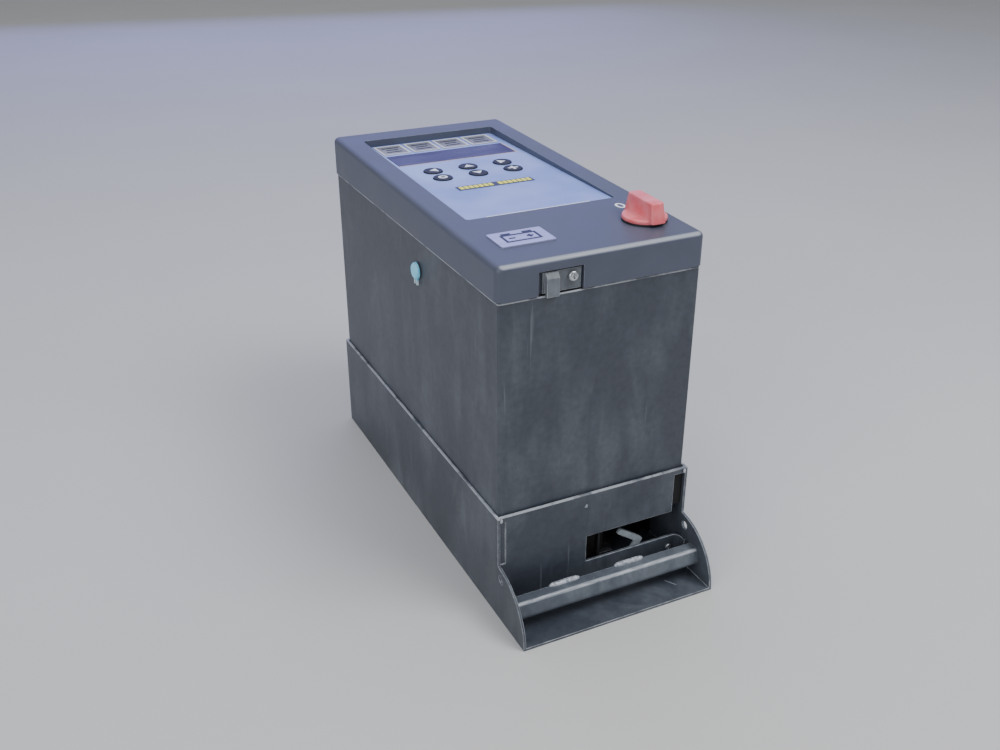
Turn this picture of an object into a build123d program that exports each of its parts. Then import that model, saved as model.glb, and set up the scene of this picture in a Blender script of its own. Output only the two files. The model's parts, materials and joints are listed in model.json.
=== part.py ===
"""Mains power unit in a sheet-steel dock, lying on its back.

A folded steel housing carries the mains filter, transformer, rectifier and fan.
Its hinged cover holds the operator panel and the main switch. The housing drops
into a dock, a folded tray with a window in its front apron and a hand rail.

Axes: X across the width, -Y towards the front (latch, window, rail), +Z up.
The origin is the middle of the dock's underside. Lengths are millimetres.
"""
import math
import os

from build123d import *

# ---------------------------------------------------------------- dock sizes
DOCK_WIDTH = 170.0          # over the two side plates
DOCK_HEIGHT = 91.0          # table to the top edge of the side plates
DOCK_SHEET = 2.0            # steel gauge of tray, apron and rail
DOCK_GAP = 0.4              # housing to side plates and to rear plate
APRON_GAP = 1.5             # housing front to the back of the apron
LIP_REACH = 46.0            # floor plate in front of the apron
EAR_RADIUS = 48.0           # quarter-round front of each side plate
EAR_STEP = 1.0              # side plates stand this far in front of the apron
EAR_HOLE_RADIUS = 3.5
EAR_HOLE_FROM_APRON = 6.2   # hole centre in front of the apron face
EAR_HOLE_HEIGHT = 38.5

APRON_TOP_STRIP = 5.0       # full-width strip along the apron's top
LEFT_GROOVE_WIDTH = 5.0
RIGHT_SLOT_WIDTH = 9.6
LEFT_GROOVE_BOTTOM = 48.0
LEFT_GROOVE_DEPTH = 0.8
WINDOW_WIDTH = 80.0
WINDOW_BOTTOM = 27.0
WINDOW_TOP = 51.0
APRON_FLANGE_REACH = 10.5   # forward of the apron, along each side plate
APRON_BEND_RADIUS = 7.0     # outside of the bend into each flange

APRON_SCREW_MARGIN = 10.5
APRON_SCREW_HEIGHT = 16.5
APRON_SCREW_RADIUS = 2.8

RAIL_SETBACK = 16.5         # lip edge to the foot of the rail's front
RAIL_DEPTH = 14.0
RAIL_LEAN = 4.0             # top of the rail's front behind its foot
RAIL_HEIGHT = 14.5
RAIL_UNDERSIDE = 12.5
RAIL_CORNER = 4.0
RAIL_WELD_LENGTH = 27.0
RAIL_WELD_RADIUS = 2.4
RAIL_WELD_CENTRES = (-34.5, 24.0)

WALL_HOLE_RADIUS = 3.3      # for wall screws through the tray floor
WALL_HOLE_SPAN_X = 120.0
WALL_HOLE_SPAN_Y = 260.0

# ------------------------------------------------------------- housing sizes
HOUSING_LENGTH = 346.2
HOUSING_BASE = 58.0         # underside above the table
HOUSING_TOP = 262.6         # rim above the table
HOUSING_SHEET = 1.5
HOUSING_CORNER = 2.0
RIM_END_FLANGE = 10.0       # inward flange at front and rear
RIM_SIDE_FLANGE = 5.0       # inward flange along the sides
SEAM_GAP = 1.0              # rim to cover
SEAL_WIDTH = 2.0
SEAL_CLEARANCE = 0.1

# --------------------------------------------------------------- cover sizes
COVER_OVERHANG = 1.6
COVER_FRONT_HEIGHT = 26.0
COVER_REAR_HEIGHT = 33.3
COVER_WALL = 4.0
COVER_CORNER = 5.5
COVER_EDGE = 4.5
RECESS_SIDE_MARGIN = 20.2   # cover's side to the panel recess
RECESS_FRONT_MARGIN = 93.6
RECESS_REAR_MARGIN = 26.8
RECESS_CORNER = 3.0
PANEL_LEVEL = 26.4          # top of the panel overlay above the cover's foot
PANEL_THICKNESS = 1.6
PANEL_GAP = 0.2
RECESS_FLOOR = 2.5

DISPLAY_SIDE_MARGIN = 8.0
DISPLAY_REAR_MARGIN = 38.0
DISPLAY_LENGTH = 32.0
LENS_PROUD = 0.3
LABEL_COUNT = 4
LABEL_LENGTH = 29.0
LABEL_GAP = 3.0
LABEL_THICKNESS = 0.4
LABEL_REAR_MARGIN = 4.0

KEYPAD_CENTRE_X = -3.0
KEY_COLUMN_GAP = 14.1       # between the collars of two keys in a row
KEY_ROW_GAP = 3.0           # between the collars of the two rows
KEY_REAR_MARGIN = 96.5      # rear wall of the recess to the rear row
KEY_RADIUS = 8.25
KEY_CLEARANCE = 0.3
KEY_PROUD = 1.1
KEY_TRAVEL = 0.8
KEY_FLANGE = 1.0            # collar wider than the cap, under the recess floor
KEY_FLANGE_THICKNESS = 0.8
KEY_STEM_RADIUS = 2.5
SCALE_WIDTH = 68.0
SCALE_LENGTH = 9.5
SCALE_REAR_MARGIN = 151.2   # rear wall of the recess to the strip's middle
SCALE_THICKNESS = 0.3

BADGE_WIDTH = 43.0
BADGE_LENGTH = 27.0
BADGE_THICKNESS = 0.9
BADGE_SIDE_MARGIN = 19.0    # cover's left side to the badge
BADGE_FRONT_MARGIN = 30.8

# ------------------------------------------------------- main switch and latch
KNOB_SIDE_MARGIN = 27.0     # cover's right side to the knob axis
KNOB_FRONT_MARGIN = 40.8
KNOB_RADIUS = 17.2
KNOB_FLANGE = 4.6
KNOB_GRIP_LENGTH = 40.0
KNOB_GRIP_WIDTH = 12.6
KNOB_GRIP_TAPER = 0.8       # each flank leans in by this
KNOB_GRIP_END_TAPER = 3.4   # each end leans in by this
KNOB_HEIGHT = 17.5
KNOB_GAP = 0.4
BEZEL_RADIUS = 17.2
BEZEL_THICKNESS = 1.3
SHAFT_RADIUS = 3.0
SHAFT_CLEARANCE = 0.05
ISOLATOR_SIZE = 36.0
ISOLATOR_DEPTH = 38.0

LATCH_SIDE_MARGIN = 31.7    # cover's left side to the latch recess
LATCH_RECESS_WIDTH = 35.6
LATCH_RECESS_HEIGHT = 17.6
LATCH_RECESS_DEPTH = 3.5
LATCH_BOSS_WALL = 5.0       # material behind the recess
LATCH_PLATE_WIDTH = 30.2
LATCH_PLATE_RIGHT_GAP = 1.6
LATCH_PLATE_TOP_GAP = 1.4
LATCH_PLATE_THICKNESS = 2.0
LATCH_TAIL_INSET = 1.9      # plate's left edge to the stepped tail
LATCH_TAIL_WIDTH = 9.8
LATCH_TAIL_SLOPE = 3.9      # height of the tail's sloping top
LATCH_TAIL_DROP = 1.6       # below the cover's foot, over the seam
LATCH_TAIL_STEP = 3.4
LATCH_TAIL_CLEARANCE = 0.5  # tail to the housing front
SCREW_HEAD_RADIUS = 3.9
SCREW_HEAD_HEIGHT = 2.6
SCREW_RADIUS = 3.0
SCREW_FROM_RECESS_RIGHT = 8.4
SCREW_ABOVE_FOOT = 10.7
CAM_LENGTH = 19.0
CAM_WIDTH = 6.0
CAM_THICKNESS = 2.0
CAM_TOE = 3.5               # radial size of the toe
CAM_FLANGE_CLEARANCE = 0.7
NOTCH_CLEARANCE = 1.5

# ------------------------------------------------------------------- hinge
HINGE_LENGTH = 110.0
HINGE_KNUCKLES = 5
HINGE_RADIUS = 3.5
HINGE_PIN_RADIUS = 1.5
HINGE_FIT = 0.05
HINGE_KNUCKLE_GAP = 0.3
HINGE_LEAF = 1.5
HINGE_LEAF_HEIGHT = 18.0

# ------------------------------------------------------- dock lock and plugs
SUPPORT_WIDTH = 12.0
SUPPORT_GAUGE = 1.5
SUPPORT_CLEARANCE = 0.2     # rail top to the housing's underside
SUPPORT_END_MARGIN = 40.0
SUPPORT_SIDE_GAP = 1.0
LEVER_THICKNESS = 3.0
LEVER_WIDTH = 5.0
LEVER_ARM = 22.0
LEVER_NOSE = 24.0
LEVER_LEAN = 35.0           # degrees from locked to the released rest
LEVER_FROM_WINDOW_RIGHT = 38.0
LEVER_PIVOT_HEIGHT = 9.0
LEVER_BEHIND_APRON = 4.5
LEVER_PIN_RADIUS = 2.5
LEVER_FIT = 0.05
CATCH_CLEARANCE = 2.5
CATCH_SHEET = 2.0

SOCKET_LENGTH = 46.0
SOCKET_DEPTH = 24.0
SOCKET_HEIGHT = 30.0
SOCKET_WALL = 3.0
SOCKET_FROM_WINDOW_LEFT = 15.0
SOCKET_BEHIND_FRONT = 42.0
PLUG_CLEARANCE = 0.6
PLUG_ENGAGEMENT = 14.0

GLAND_BORE_RADIUS = 4.5
GLAND_BODY_RADIUS = 8.0
GLAND_NUT_FLATS = 22.0
GLAND_HEIGHT = 30.0
GLAND_REACH = 24.0

CAP_RADIUS = 6.9
CAP_DOME = 3.4
CAP_BEHIND_FRONT = 146.5
CAP_HEIGHT = 236.0
CAP_STEM_RADIUS = 4.0
CAP_STEM_FIT = 0.05
CAP_STEM_LENGTH = 9.0
CAP_TAB_LENGTH = 4.6
CAP_LEG_OFFSET = 2.4        # each leg of the tab to the cap's middle
CAP_LEG_WIDTH = 1.2
GROMMET_RADIUS = 6.6

# --------------------------------------------------------------- inside sizes
CHASSIS_LIFT = 4.0
CHASSIS_THICKNESS = 2.0
CHASSIS_MARGIN = 5.0
TOROID_RADIUS = 46.0
TOROID_HOLE_RADIUS = 17.0
TOROID_HEIGHT = 44.0
TOROID_BEHIND_FRONT = 170.0
TOROID_BOLT_RADIUS = 4.0
CLAMP_RADIUS = 30.0
CLAMP_THICKNESS = 3.0
FAN_SIZE = 80.0
FAN_DEPTH = 25.0
FAN_BORE_RADIUS = 38.0
FAN_HUB_RADIUS = 17.0
FAN_SHAFT_RADIUS = 2.0
FAN_BLADES = 7
FAN_TIP_CLEARANCE = 1.0
FAN_HEIGHT = 112.0
SINK_WIDTH = 120.0
SINK_HEIGHT = 42.0
SINK_BASE = 8.0
SINK_FINS = 11
SINK_FIN_THICKNESS = 2.5
MODULE_SIZE = (34.0, 34.0, 16.0)
BOARD_THICKNESS = 1.6
CAPACITOR_RADIUS = 15.0
CAPACITOR_HEIGHT = 42.0
FILTER_SIZE = (52.0, 88.0, 30.0)
TERMINAL_COUNT = 8
TERMINAL_PITCH = 7.0
TERMINAL_LENGTH = 44.0
TERMINAL_HEIGHT = 38.0

# ------------------------------------------------------------ worked-out places
dock_length = (LIP_REACH + DOCK_SHEET + APRON_GAP + HOUSING_LENGTH + DOCK_GAP
               + DOCK_SHEET)
lip_edge = -dock_length / 2
dock_rear = dock_length / 2
apron_face = lip_edge + LIP_REACH
apron_back = apron_face + DOCK_SHEET
housing_front = apron_back + APRON_GAP
housing_rear = housing_front + HOUSING_LENGTH
dock_inner = DOCK_WIDTH / 2 - DOCK_SHEET
housing_half = dock_inner - DOCK_GAP
inside_half = housing_half - HOUSING_SHEET

cover_foot = HOUSING_TOP + SEAM_GAP
cover_half = housing_half + COVER_OVERHANG
cover_front = housing_front - COVER_OVERHANG
cover_rear = housing_rear + COVER_OVERHANG
cover_length = cover_rear - cover_front
cover_slope = math.atan2(COVER_REAR_HEIGHT - COVER_FRONT_HEIGHT, cover_length)
cover_normal = (0.0, -math.sin(cover_slope), math.cos(cover_slope))

recess_half = cover_half - RECESS_SIDE_MARGIN
recess_front = cover_front + RECESS_FRONT_MARGIN
recess_rear = cover_rear - RECESS_REAR_MARGIN
panel_top = cover_foot + PANEL_LEVEL
panel_seat = panel_top - PANEL_THICKNESS
recess_underside = panel_seat - RECESS_FLOOR

display_half = recess_half - DISPLAY_SIDE_MARGIN
display_rear = recess_rear - DISPLAY_REAR_MARGIN
display_front = display_rear - DISPLAY_LENGTH

window_right = dock_inner - RIGHT_SLOT_WIDTH
window_left = window_right - WINDOW_WIDTH
slot_top = DOCK_HEIGHT - APRON_TOP_STRIP

knob_x = cover_half - KNOB_SIDE_MARGIN
knob_y = cover_front + KNOB_FRONT_MARGIN

latch_left = -cover_half + LATCH_SIDE_MARGIN
latch_right = latch_left + LATCH_RECESS_WIDTH
latch_floor = cover_front + LATCH_RECESS_DEPTH
boss_back = latch_floor + LATCH_BOSS_WALL
screw_x = latch_right - SCREW_FROM_RECESS_RIGHT
screw_z = cover_foot + SCREW_ABOVE_FOOT
rim_flange_inner = housing_front + HOUSING_SHEET + RIM_END_FLANGE
cam_front = rim_flange_inner + CAM_FLANGE_CLEARANCE
toe_inner = CAM_LENGTH - CAM_TOE
toe_outer = math.hypot(CAM_LENGTH, CAM_WIDTH / 2)
drop_to_flange = screw_z - HOUSING_TOP
drop_through_flange = drop_to_flange + HOUSING_SHEET
notch_left = screw_x + math.sqrt(max(toe_inner ** 2 - drop_through_flange ** 2, 0.0)) - NOTCH_CLEARANCE
notch_right = screw_x + math.sqrt(toe_outer ** 2 - drop_to_flange ** 2) + NOTCH_CLEARANCE

hinge_y = cover_rear + HINGE_RADIUS
hinge_z = HOUSING_TOP + SEAM_GAP / 2

lever_x = window_right - LEVER_FROM_WINDOW_RIGHT
lever_front = apron_back + LEVER_BEHIND_APRON
lever_back = lever_front + LEVER_THICKNESS

socket_x = window_left + SOCKET_FROM_WINDOW_LEFT
socket_y = housing_front + SOCKET_BEHIND_FRONT
cap_y = housing_front + CAP_BEHIND_FRONT

chassis_under = HOUSING_BASE + HOUSING_SHEET + CHASSIS_LIFT
chassis_top = chassis_under + CHASSIS_THICKNESS
inside_front = housing_front + HOUSING_SHEET
inside_rear = housing_rear - HOUSING_SHEET
toroid_x = -(inside_half - 6.0 - TOROID_RADIUS)
toroid_y = housing_front + TOROID_BEHIND_FRONT
fan_front = inside_rear - FAN_DEPTH
sink_front = toroid_y + TOROID_RADIUS + 8.0
sink_rear = fan_front - 6.0
sink_half = min(SINK_WIDTH, 2 * inside_half - 16.0) / 2
module_top = chassis_top + SINK_HEIGHT + MODULE_SIZE[2]
power_board_under = module_top + 6.0
power_board_top = power_board_under + BOARD_THICKNESS

key_collar = 2 * (KEY_RADIUS + KEY_FLANGE)
key_pitch_x = key_collar + KEY_COLUMN_GAP
key_pitch_y = key_collar + KEY_ROW_GAP
key_flange_top = recess_underside - 0.1
key_flange_foot = key_flange_top - KEY_FLANGE_THICKNESS
key_stem_foot = key_flange_foot - 3.1
switch_top = key_stem_foot - KEY_TRAVEL - 0.1
control_board_top = switch_top - 3.4
control_board_under = control_board_top - BOARD_THICKNESS


# ------------------------------------------------------------- shape helpers
def block(x, y, z):
    """A box given by its low and high limits along each axis."""
    limits = (x, y, z)
    size = [high - low for low, high in limits]
    middle = [(high + low) / 2 for low, high in limits]
    return Pos(*middle) * Box(*size)


def rod(radius, start, end):
    """A round bar from one point to another."""
    direction = Vector(*end) - Vector(*start)
    base = Plane(origin=start, z_dir=direction.normalized())
    foot = (Align.CENTER, Align.CENTER, Align.MIN)
    return base * Cylinder(radius, direction.length, align=foot)


def side_profile(points, low_x, high_x):
    """A polygon of (y, z) points drawn out along X."""
    base = Plane(origin=(low_x, 0, 0), x_dir=(0, 1, 0), z_dir=(1, 0, 0))
    return extrude(base * Polygon(*points, align=None), high_x - low_x, dir=(1, 0, 0))


def front_plane(x, y, z):
    """A sketch plane facing the front, with its origin at a place, X to the right and Z up."""
    return Plane(origin=(x, y, z), x_dir=(1, 0, 0), z_dir=(0, -1, 0))


def cover_top(y):
    """Height of the cover's sloping top at a place along the length."""
    return cover_foot + COVER_FRONT_HEIGHT + (y - cover_front) * math.tan(cover_slope)


def on_cover(x, y):
    """A plane on the cover's sloping top, with its Z along the outward normal."""
    return Plane(origin=(x, y, cover_top(y)), x_dir=(1, 0, 0), z_dir=cover_normal)


def upright_edges(shape):
    """The edges of a shape that run along Z."""
    return shape.edges().filter_by(Axis.Z)


def key_places():
    """Centre of each key, rear row first, from left to right."""
    rear_row = recess_rear - KEY_REAR_MARGIN
    return [(KEYPAD_CENTRE_X + column * key_pitch_x, rear_row - row * key_pitch_y)
            for row in (0, 1) for column in (-1, 0, 1)]


def rectangle_places(span_x, span_y, x=0.0, y=0.0):
    """The four corners of a rectangle about a centre."""
    return [(x + i * span_x / 2, y + j * span_y / 2) for i in (-1, 1) for j in (-1, 1)]


# ------------------------------------------------------------------ the dock
def dock_side(low_x, high_x):
    """A side plate whose front ends in a quarter-round ear."""
    ear_front = apron_face - EAR_STEP
    arc_centre = lip_edge + EAR_RADIUS
    arc_top = math.sqrt(EAR_RADIUS ** 2 - (arc_centre - ear_front) ** 2)
    top = DOCK_HEIGHT
    middle = math.radians(45)
    outline = [
        Line((lip_edge, 0), (dock_rear, 0)),
        Line((dock_rear, 0), (dock_rear, top)),
        Line((dock_rear, top), (ear_front, top)),
        Line((ear_front, top), (ear_front, arc_top)),
        ThreePointArc((ear_front, arc_top),
                      (arc_centre - EAR_RADIUS * math.cos(middle), EAR_RADIUS * math.sin(middle)),
                      (lip_edge, 0)),
    ]
    face = Plane(origin=(low_x, 0, 0), x_dir=(0, 1, 0), z_dir=(1, 0, 0)) * make_face(outline)
    return extrude(face, high_x - low_x)


def dock_tray():
    """Floor, side plates and rear plate folded from one sheet."""
    half = DOCK_WIDTH / 2
    tray = block((-half, half), (lip_edge, dock_rear), (0, DOCK_SHEET))
    tray += dock_side(-half, -dock_inner)
    tray += dock_side(dock_inner, half)
    tray += block((-half, half), (dock_rear - DOCK_SHEET, dock_rear), (0, DOCK_HEIGHT))
    hole_y = apron_face - EAR_HOLE_FROM_APRON
    tray -= rod(EAR_HOLE_RADIUS, (-half - 1, hole_y, EAR_HOLE_HEIGHT), (half + 1, hole_y, EAR_HOLE_HEIGHT))
    middle_y = (apron_back + dock_rear - DOCK_SHEET) / 2
    for x, y in rectangle_places(WALL_HOLE_SPAN_X, WALL_HOLE_SPAN_Y, y=middle_y):
        tray -= rod(WALL_HOLE_RADIUS, (x, y, -1), (x, y, DOCK_SHEET + 1))
    tray -= rod(GLAND_BODY_RADIUS, (0, dock_rear - DOCK_SHEET - 1, GLAND_HEIGHT),
                (0, dock_rear + 1, GLAND_HEIGHT))
    return tray


def apron_strip():
    """Foot of the apron, bent forward into a flange along each side plate."""
    height = (DOCK_SHEET, WINDOW_BOTTOM)
    strip = block((-dock_inner, dock_inner), (apron_face - APRON_FLANGE_REACH, apron_back), height)
    hollow = block((-dock_inner + DOCK_SHEET, dock_inner - DOCK_SHEET),
                   (apron_face - APRON_FLANGE_REACH - 1, apron_face), (height[0] - 1, height[1] + 1))
    strip = fillet(upright_edges(strip).sort_by(Axis.Y)[-2:], APRON_BEND_RADIUS)
    return strip - fillet(upright_edges(hollow).sort_by(Axis.Y)[-2:], APRON_BEND_RADIUS - DOCK_SHEET)


def dock_apron():
    """Front plate with a groove down its left side, a slot down its right, and a window over its foot."""
    apron = block((-dock_inner, window_right), (apron_face, apron_back), (WINDOW_BOTTOM, slot_top))
    depth = (apron_face - 1, apron_back + 1)
    groove_width = (-dock_inner - 1, -dock_inner + LEFT_GROOVE_WIDTH)
    groove_depth = (apron_face - 1, apron_face + LEFT_GROOVE_DEPTH)
    apron -= block(groove_width, groove_depth, (LEFT_GROOVE_BOTTOM, slot_top + 1))
    apron -= block((window_left, window_right + 1), depth, (WINDOW_BOTTOM - 1, WINDOW_TOP))
    apron += block((-dock_inner, dock_inner), (apron_face, apron_back), (slot_top, DOCK_HEIGHT))
    return apron + apron_strip()


def apron_welds():
    """Weld beads that hold the apron's top strip to the side plates."""
    beads = []
    for side in (-1, 1):
        x = side * dock_inner
        bead = Pos(x, apron_face, DOCK_HEIGHT - APRON_TOP_STRIP / 2) * Sphere(2.0)
        inside_tray = block((x - 3, x + 3), (apron_face - 3, apron_face),
                            (DOCK_HEIGHT - 6, DOCK_HEIGHT + 1))
        bead = bead & inside_tray
        plate = (x, x + side * 3)
        bead -= block((min(plate), max(plate)), (apron_face - 4, apron_face + 1),
                      (DOCK_HEIGHT - 7, DOCK_HEIGHT + 2))
        beads.append(bead)
    return beads


def rail_places():
    """Front, rear, underside and top of the hand rail."""
    front = lip_edge + RAIL_SETBACK
    return front, front + RAIL_DEPTH, RAIL_UNDERSIDE, RAIL_UNDERSIDE + RAIL_HEIGHT


def rail_section(inset):
    """Cross-section of the rail as (y, z) points, taken in by a wall, open to the rear."""
    front, rear, low, high = rail_places()
    past_rear = rear + inset
    return [(past_rear, low + inset), (front + inset, low + inset),
            (front + RAIL_LEAN + inset, high - inset), (past_rear, high - inset)]


def front_rail():
    """Hand rail folded to a channel that is open to the rear."""
    rail = side_profile(rail_section(0.0), -dock_inner, dock_inner)
    rail = fillet(rail.edges().filter_by(Axis.X).sort_by(Axis.Y)[:2], RAIL_CORNER)
    hollow = side_profile(rail_section(DOCK_SHEET), -dock_inner - 1, dock_inner + 1)
    inner_nose = hollow.edges().filter_by(Axis.X).sort_by(Axis.Y)[:2]
    return rail - fillet(inner_nose, RAIL_CORNER - DOCK_SHEET)


def rail_back_strip():
    """Flat strip that closes the channel from behind."""
    _, rear, low, high = rail_places()
    z = (low + DOCK_SHEET, high - DOCK_SHEET)
    return block((-dock_inner, dock_inner), (rear - DOCK_SHEET, rear), z)


def rail_welds():
    """Two weld beads along the rail's top rear edge."""
    _, rear, _, high = rail_places()
    beads = []
    for centre in RAIL_WELD_CENTRES:
        reach = RAIL_WELD_LENGTH / 2 - RAIL_WELD_RADIUS
        bead = rod(RAIL_WELD_RADIUS, (centre - reach, rear, high), (centre + reach, rear, high))
        for end in (-reach, reach):
            bead += Pos(centre + end, rear, high) * Sphere(RAIL_WELD_RADIUS)
        reach = (centre - RAIL_WELD_LENGTH, centre + RAIL_WELD_LENGTH)
        bead -= block(reach, (rear - 8, rear), (high - 8, high))
        beads.append(bead)
    return beads


def pan_head(radius, height, base):
    """A domed screw head with a cross recess, on a plane."""
    head = base * Cylinder(radius, height, align=(Align.CENTER, Align.CENTER, Align.MIN))
    rim = head.edges().filter_by(GeomType.CIRCLE)
    outward = base.z_dir
    top_rim = [edge for edge in rim if (edge.center() - base.origin).dot(outward) > height / 2]
    head = fillet(top_rim, height * 0.6)
    for turn in (0, 90):
        slot = Pos(0, 0, height) * Rot(0, 0, turn) * Box(radius * 1.1, radius * 0.28, height * 0.9)
        head -= base * slot
    return head


def apron_screw():
    """Screw in the apron's lower corner."""
    place = front_plane(dock_inner - APRON_SCREW_MARGIN, apron_face, APRON_SCREW_HEIGHT)
    return pan_head(APRON_SCREW_RADIUS, APRON_SCREW_RADIUS * 0.6, place)


def support_rails():
    """Two U-section rails on the tray floor that the housing stands on."""
    rails = []
    y = (apron_back + SUPPORT_END_MARGIN, dock_rear - DOCK_SHEET - SUPPORT_END_MARGIN)
    z = (DOCK_SHEET, HOUSING_BASE - SUPPORT_CLEARANCE)
    for side in (-1, 1):
        outer = side * (dock_inner - SUPPORT_SIDE_GAP)
        inner = outer - side * SUPPORT_WIDTH
        low, high = min(outer, inner), max(outer, inner)
        rail = block((low, high), y, z)
        rail -= block((low + SUPPORT_GAUGE, high - SUPPORT_GAUGE), (y[0] - 1, y[1] + 1),
                      (z[0] - 1, z[1] - SUPPORT_GAUGE))
        rails.append(rail)
    return rails


def socket_outer():
    """The space that the dock socket takes up, as x, y and z limits."""
    half_x = SOCKET_LENGTH / 2
    half_y = SOCKET_DEPTH / 2
    return ((socket_x - half_x, socket_x + half_x), (socket_y - half_y, socket_y + half_y),
            (DOCK_SHEET, DOCK_SHEET + SOCKET_HEIGHT))


def dock_socket():
    """Connector on the tray floor that the housing's plug drops into."""
    x, y, z = socket_outer()
    socket = block(x, y, z)
    socket = fillet(upright_edges(socket), 3.0)
    well = block((x[0] + SOCKET_WALL, x[1] - SOCKET_WALL), (y[0] + SOCKET_WALL, y[1] - SOCKET_WALL),
                 (z[1] - PLUG_ENGAGEMENT - 2.0, z[1] + 1))
    socket -= well
    for end in (-1, 1):
        ear = block((0, 10), (socket_y - 6, socket_y + 6), (DOCK_SHEET, DOCK_SHEET + 4))
        start = x[1] if end > 0 else x[0] - 10
        socket += Pos(start, 0, 0) * ear
    return socket


def dock_plug():
    """Connector under the housing, standing in the dock socket."""
    x, y, z = socket_outer()
    inset = SOCKET_WALL + PLUG_CLEARANCE
    plug = block((x[0] + inset, x[1] - inset), (y[0] + inset, y[1] - inset),
                 (z[1] - PLUG_ENGAGEMENT, HOUSING_BASE - 4))
    plug = fillet(upright_edges(plug), 2.0)
    plug += block((x[0] - 6, x[1] + 6), (y[0] - 1, y[1] + 1), (HOUSING_BASE - 4, HOUSING_BASE))
    return plug


def cable_gland():
    """Gland through the dock's rear plate, with an empty cable bore."""
    face = dock_rear
    gland = rod(GLAND_BODY_RADIUS, (0, face - DOCK_SHEET - 9, GLAND_HEIGHT), (0, face + 4, GLAND_HEIGHT))
    hexagon = Plane(origin=(0, face, GLAND_HEIGHT), z_dir=(0, 1, 0)) * RegularPolygon(
        GLAND_NUT_FLATS / 2, 6, major_radius=False)
    gland += extrude(hexagon, 6)
    gland += rod(GLAND_BODY_RADIUS + 1.6, (0, face + 6, GLAND_HEIGHT),
                 (0, face + GLAND_REACH - 6, GLAND_HEIGHT))
    dome = Plane(origin=(0, face + GLAND_REACH - 6, GLAND_HEIGHT), z_dir=(0, 1, 0)) * Cone(
        GLAND_BODY_RADIUS + 1.6, GLAND_BORE_RADIUS + 2.0, 6, align=(Align.CENTER, Align.CENTER, Align.MIN))
    gland += dome
    gland -= rod(GLAND_BORE_RADIUS, (0, face - 40, GLAND_HEIGHT), (0, face + GLAND_REACH + 1, GLAND_HEIGHT))
    return gland


def gland_nut():
    """Locknut behind the rear plate."""
    face = dock_rear - DOCK_SHEET
    hexagon = Plane(origin=(0, face, GLAND_HEIGHT), z_dir=(0, -1, 0)) * RegularPolygon(
        GLAND_NUT_FLATS / 2, 6, major_radius=False)
    nut = extrude(hexagon, 5)
    return nut - rod(GLAND_BODY_RADIUS, (0, face - 10, GLAND_HEIGHT), (0, face + 5, GLAND_HEIGHT))


# --------------------------------------------------------------- dock lock
def lever_bracket():
    """Upright plate on the tray floor that carries the lever pin."""
    y = (lever_back + 0.5, lever_back + 0.5 + DOCK_SHEET)
    bracket = block((lever_x - 8, lever_x + 8), y, (DOCK_SHEET, LEVER_PIVOT_HEIGHT + 7))
    bracket += block((lever_x - 8, lever_x + 8), (y[0], y[1] + 12), (DOCK_SHEET, 2 * DOCK_SHEET))
    return bracket - rod(LEVER_PIN_RADIUS, (lever_x, y[0] - 1, LEVER_PIVOT_HEIGHT),
                         (lever_x, y[1] + 20, LEVER_PIVOT_HEIGHT))


def lever_pin():
    """Headed pin that the lever turns on."""
    z = LEVER_PIVOT_HEIGHT
    head_front = lever_front - 2.2
    pin = rod(LEVER_PIN_RADIUS, (lever_x, head_front, z), (lever_x, lever_back + 0.5 + DOCK_SHEET, z))
    return pin + rod(LEVER_PIN_RADIUS + 1.6, (lever_x, head_front, z), (lever_x, lever_front - 0.4, z))


def release_lever():
    """Hooked lever: an arm up from the pin and a nose over the housing's catch."""
    half = LEVER_WIDTH / 2
    outline = [(-half, 0), (half, 0), (half, LEVER_ARM + half), (-LEVER_NOSE, LEVER_ARM + half),
               (-LEVER_NOSE, LEVER_ARM - half), (-half, LEVER_ARM - half)]
    flat = Polygon(*outline, align=None)
    flat = fillet(flat.vertices().sort_by(Axis.Y)[-2:], half - 0.3)
    flat += Circle(LEVER_PIN_RADIUS + 2.5)
    flat -= Circle(LEVER_PIN_RADIUS + LEVER_FIT)
    base = Plane(origin=(lever_x, lever_back, LEVER_PIVOT_HEIGHT), x_dir=(1, 0, 0), z_dir=(0, -1, 0))
    return extrude(base * Rot(0, 0, -LEVER_LEAN) * flat, LEVER_THICKNESS)


def lock_catch():
    """Bracket under the housing whose lip the lever's nose holds down."""
    nose_tip = lever_x - LEVER_NOSE
    leg_right = nose_tip - 2.0
    nose_underside = LEVER_PIVOT_HEIGHT + LEVER_ARM - LEVER_WIDTH / 2
    lip_top = nose_underside - CATCH_CLEARANCE
    y = (lever_front - 1, lever_back + 1)
    catch = block((leg_right - CATCH_SHEET, leg_right), y, (lip_top - CATCH_SHEET, HOUSING_BASE))
    catch += block((leg_right - CATCH_SHEET, leg_right + 12), y, (lip_top - CATCH_SHEET, lip_top))
    foot = (HOUSING_BASE - CATCH_SHEET, HOUSING_BASE)
    catch += block((leg_right - 14, leg_right), (y[0], y[1] + 8), foot)
    return catch


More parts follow.
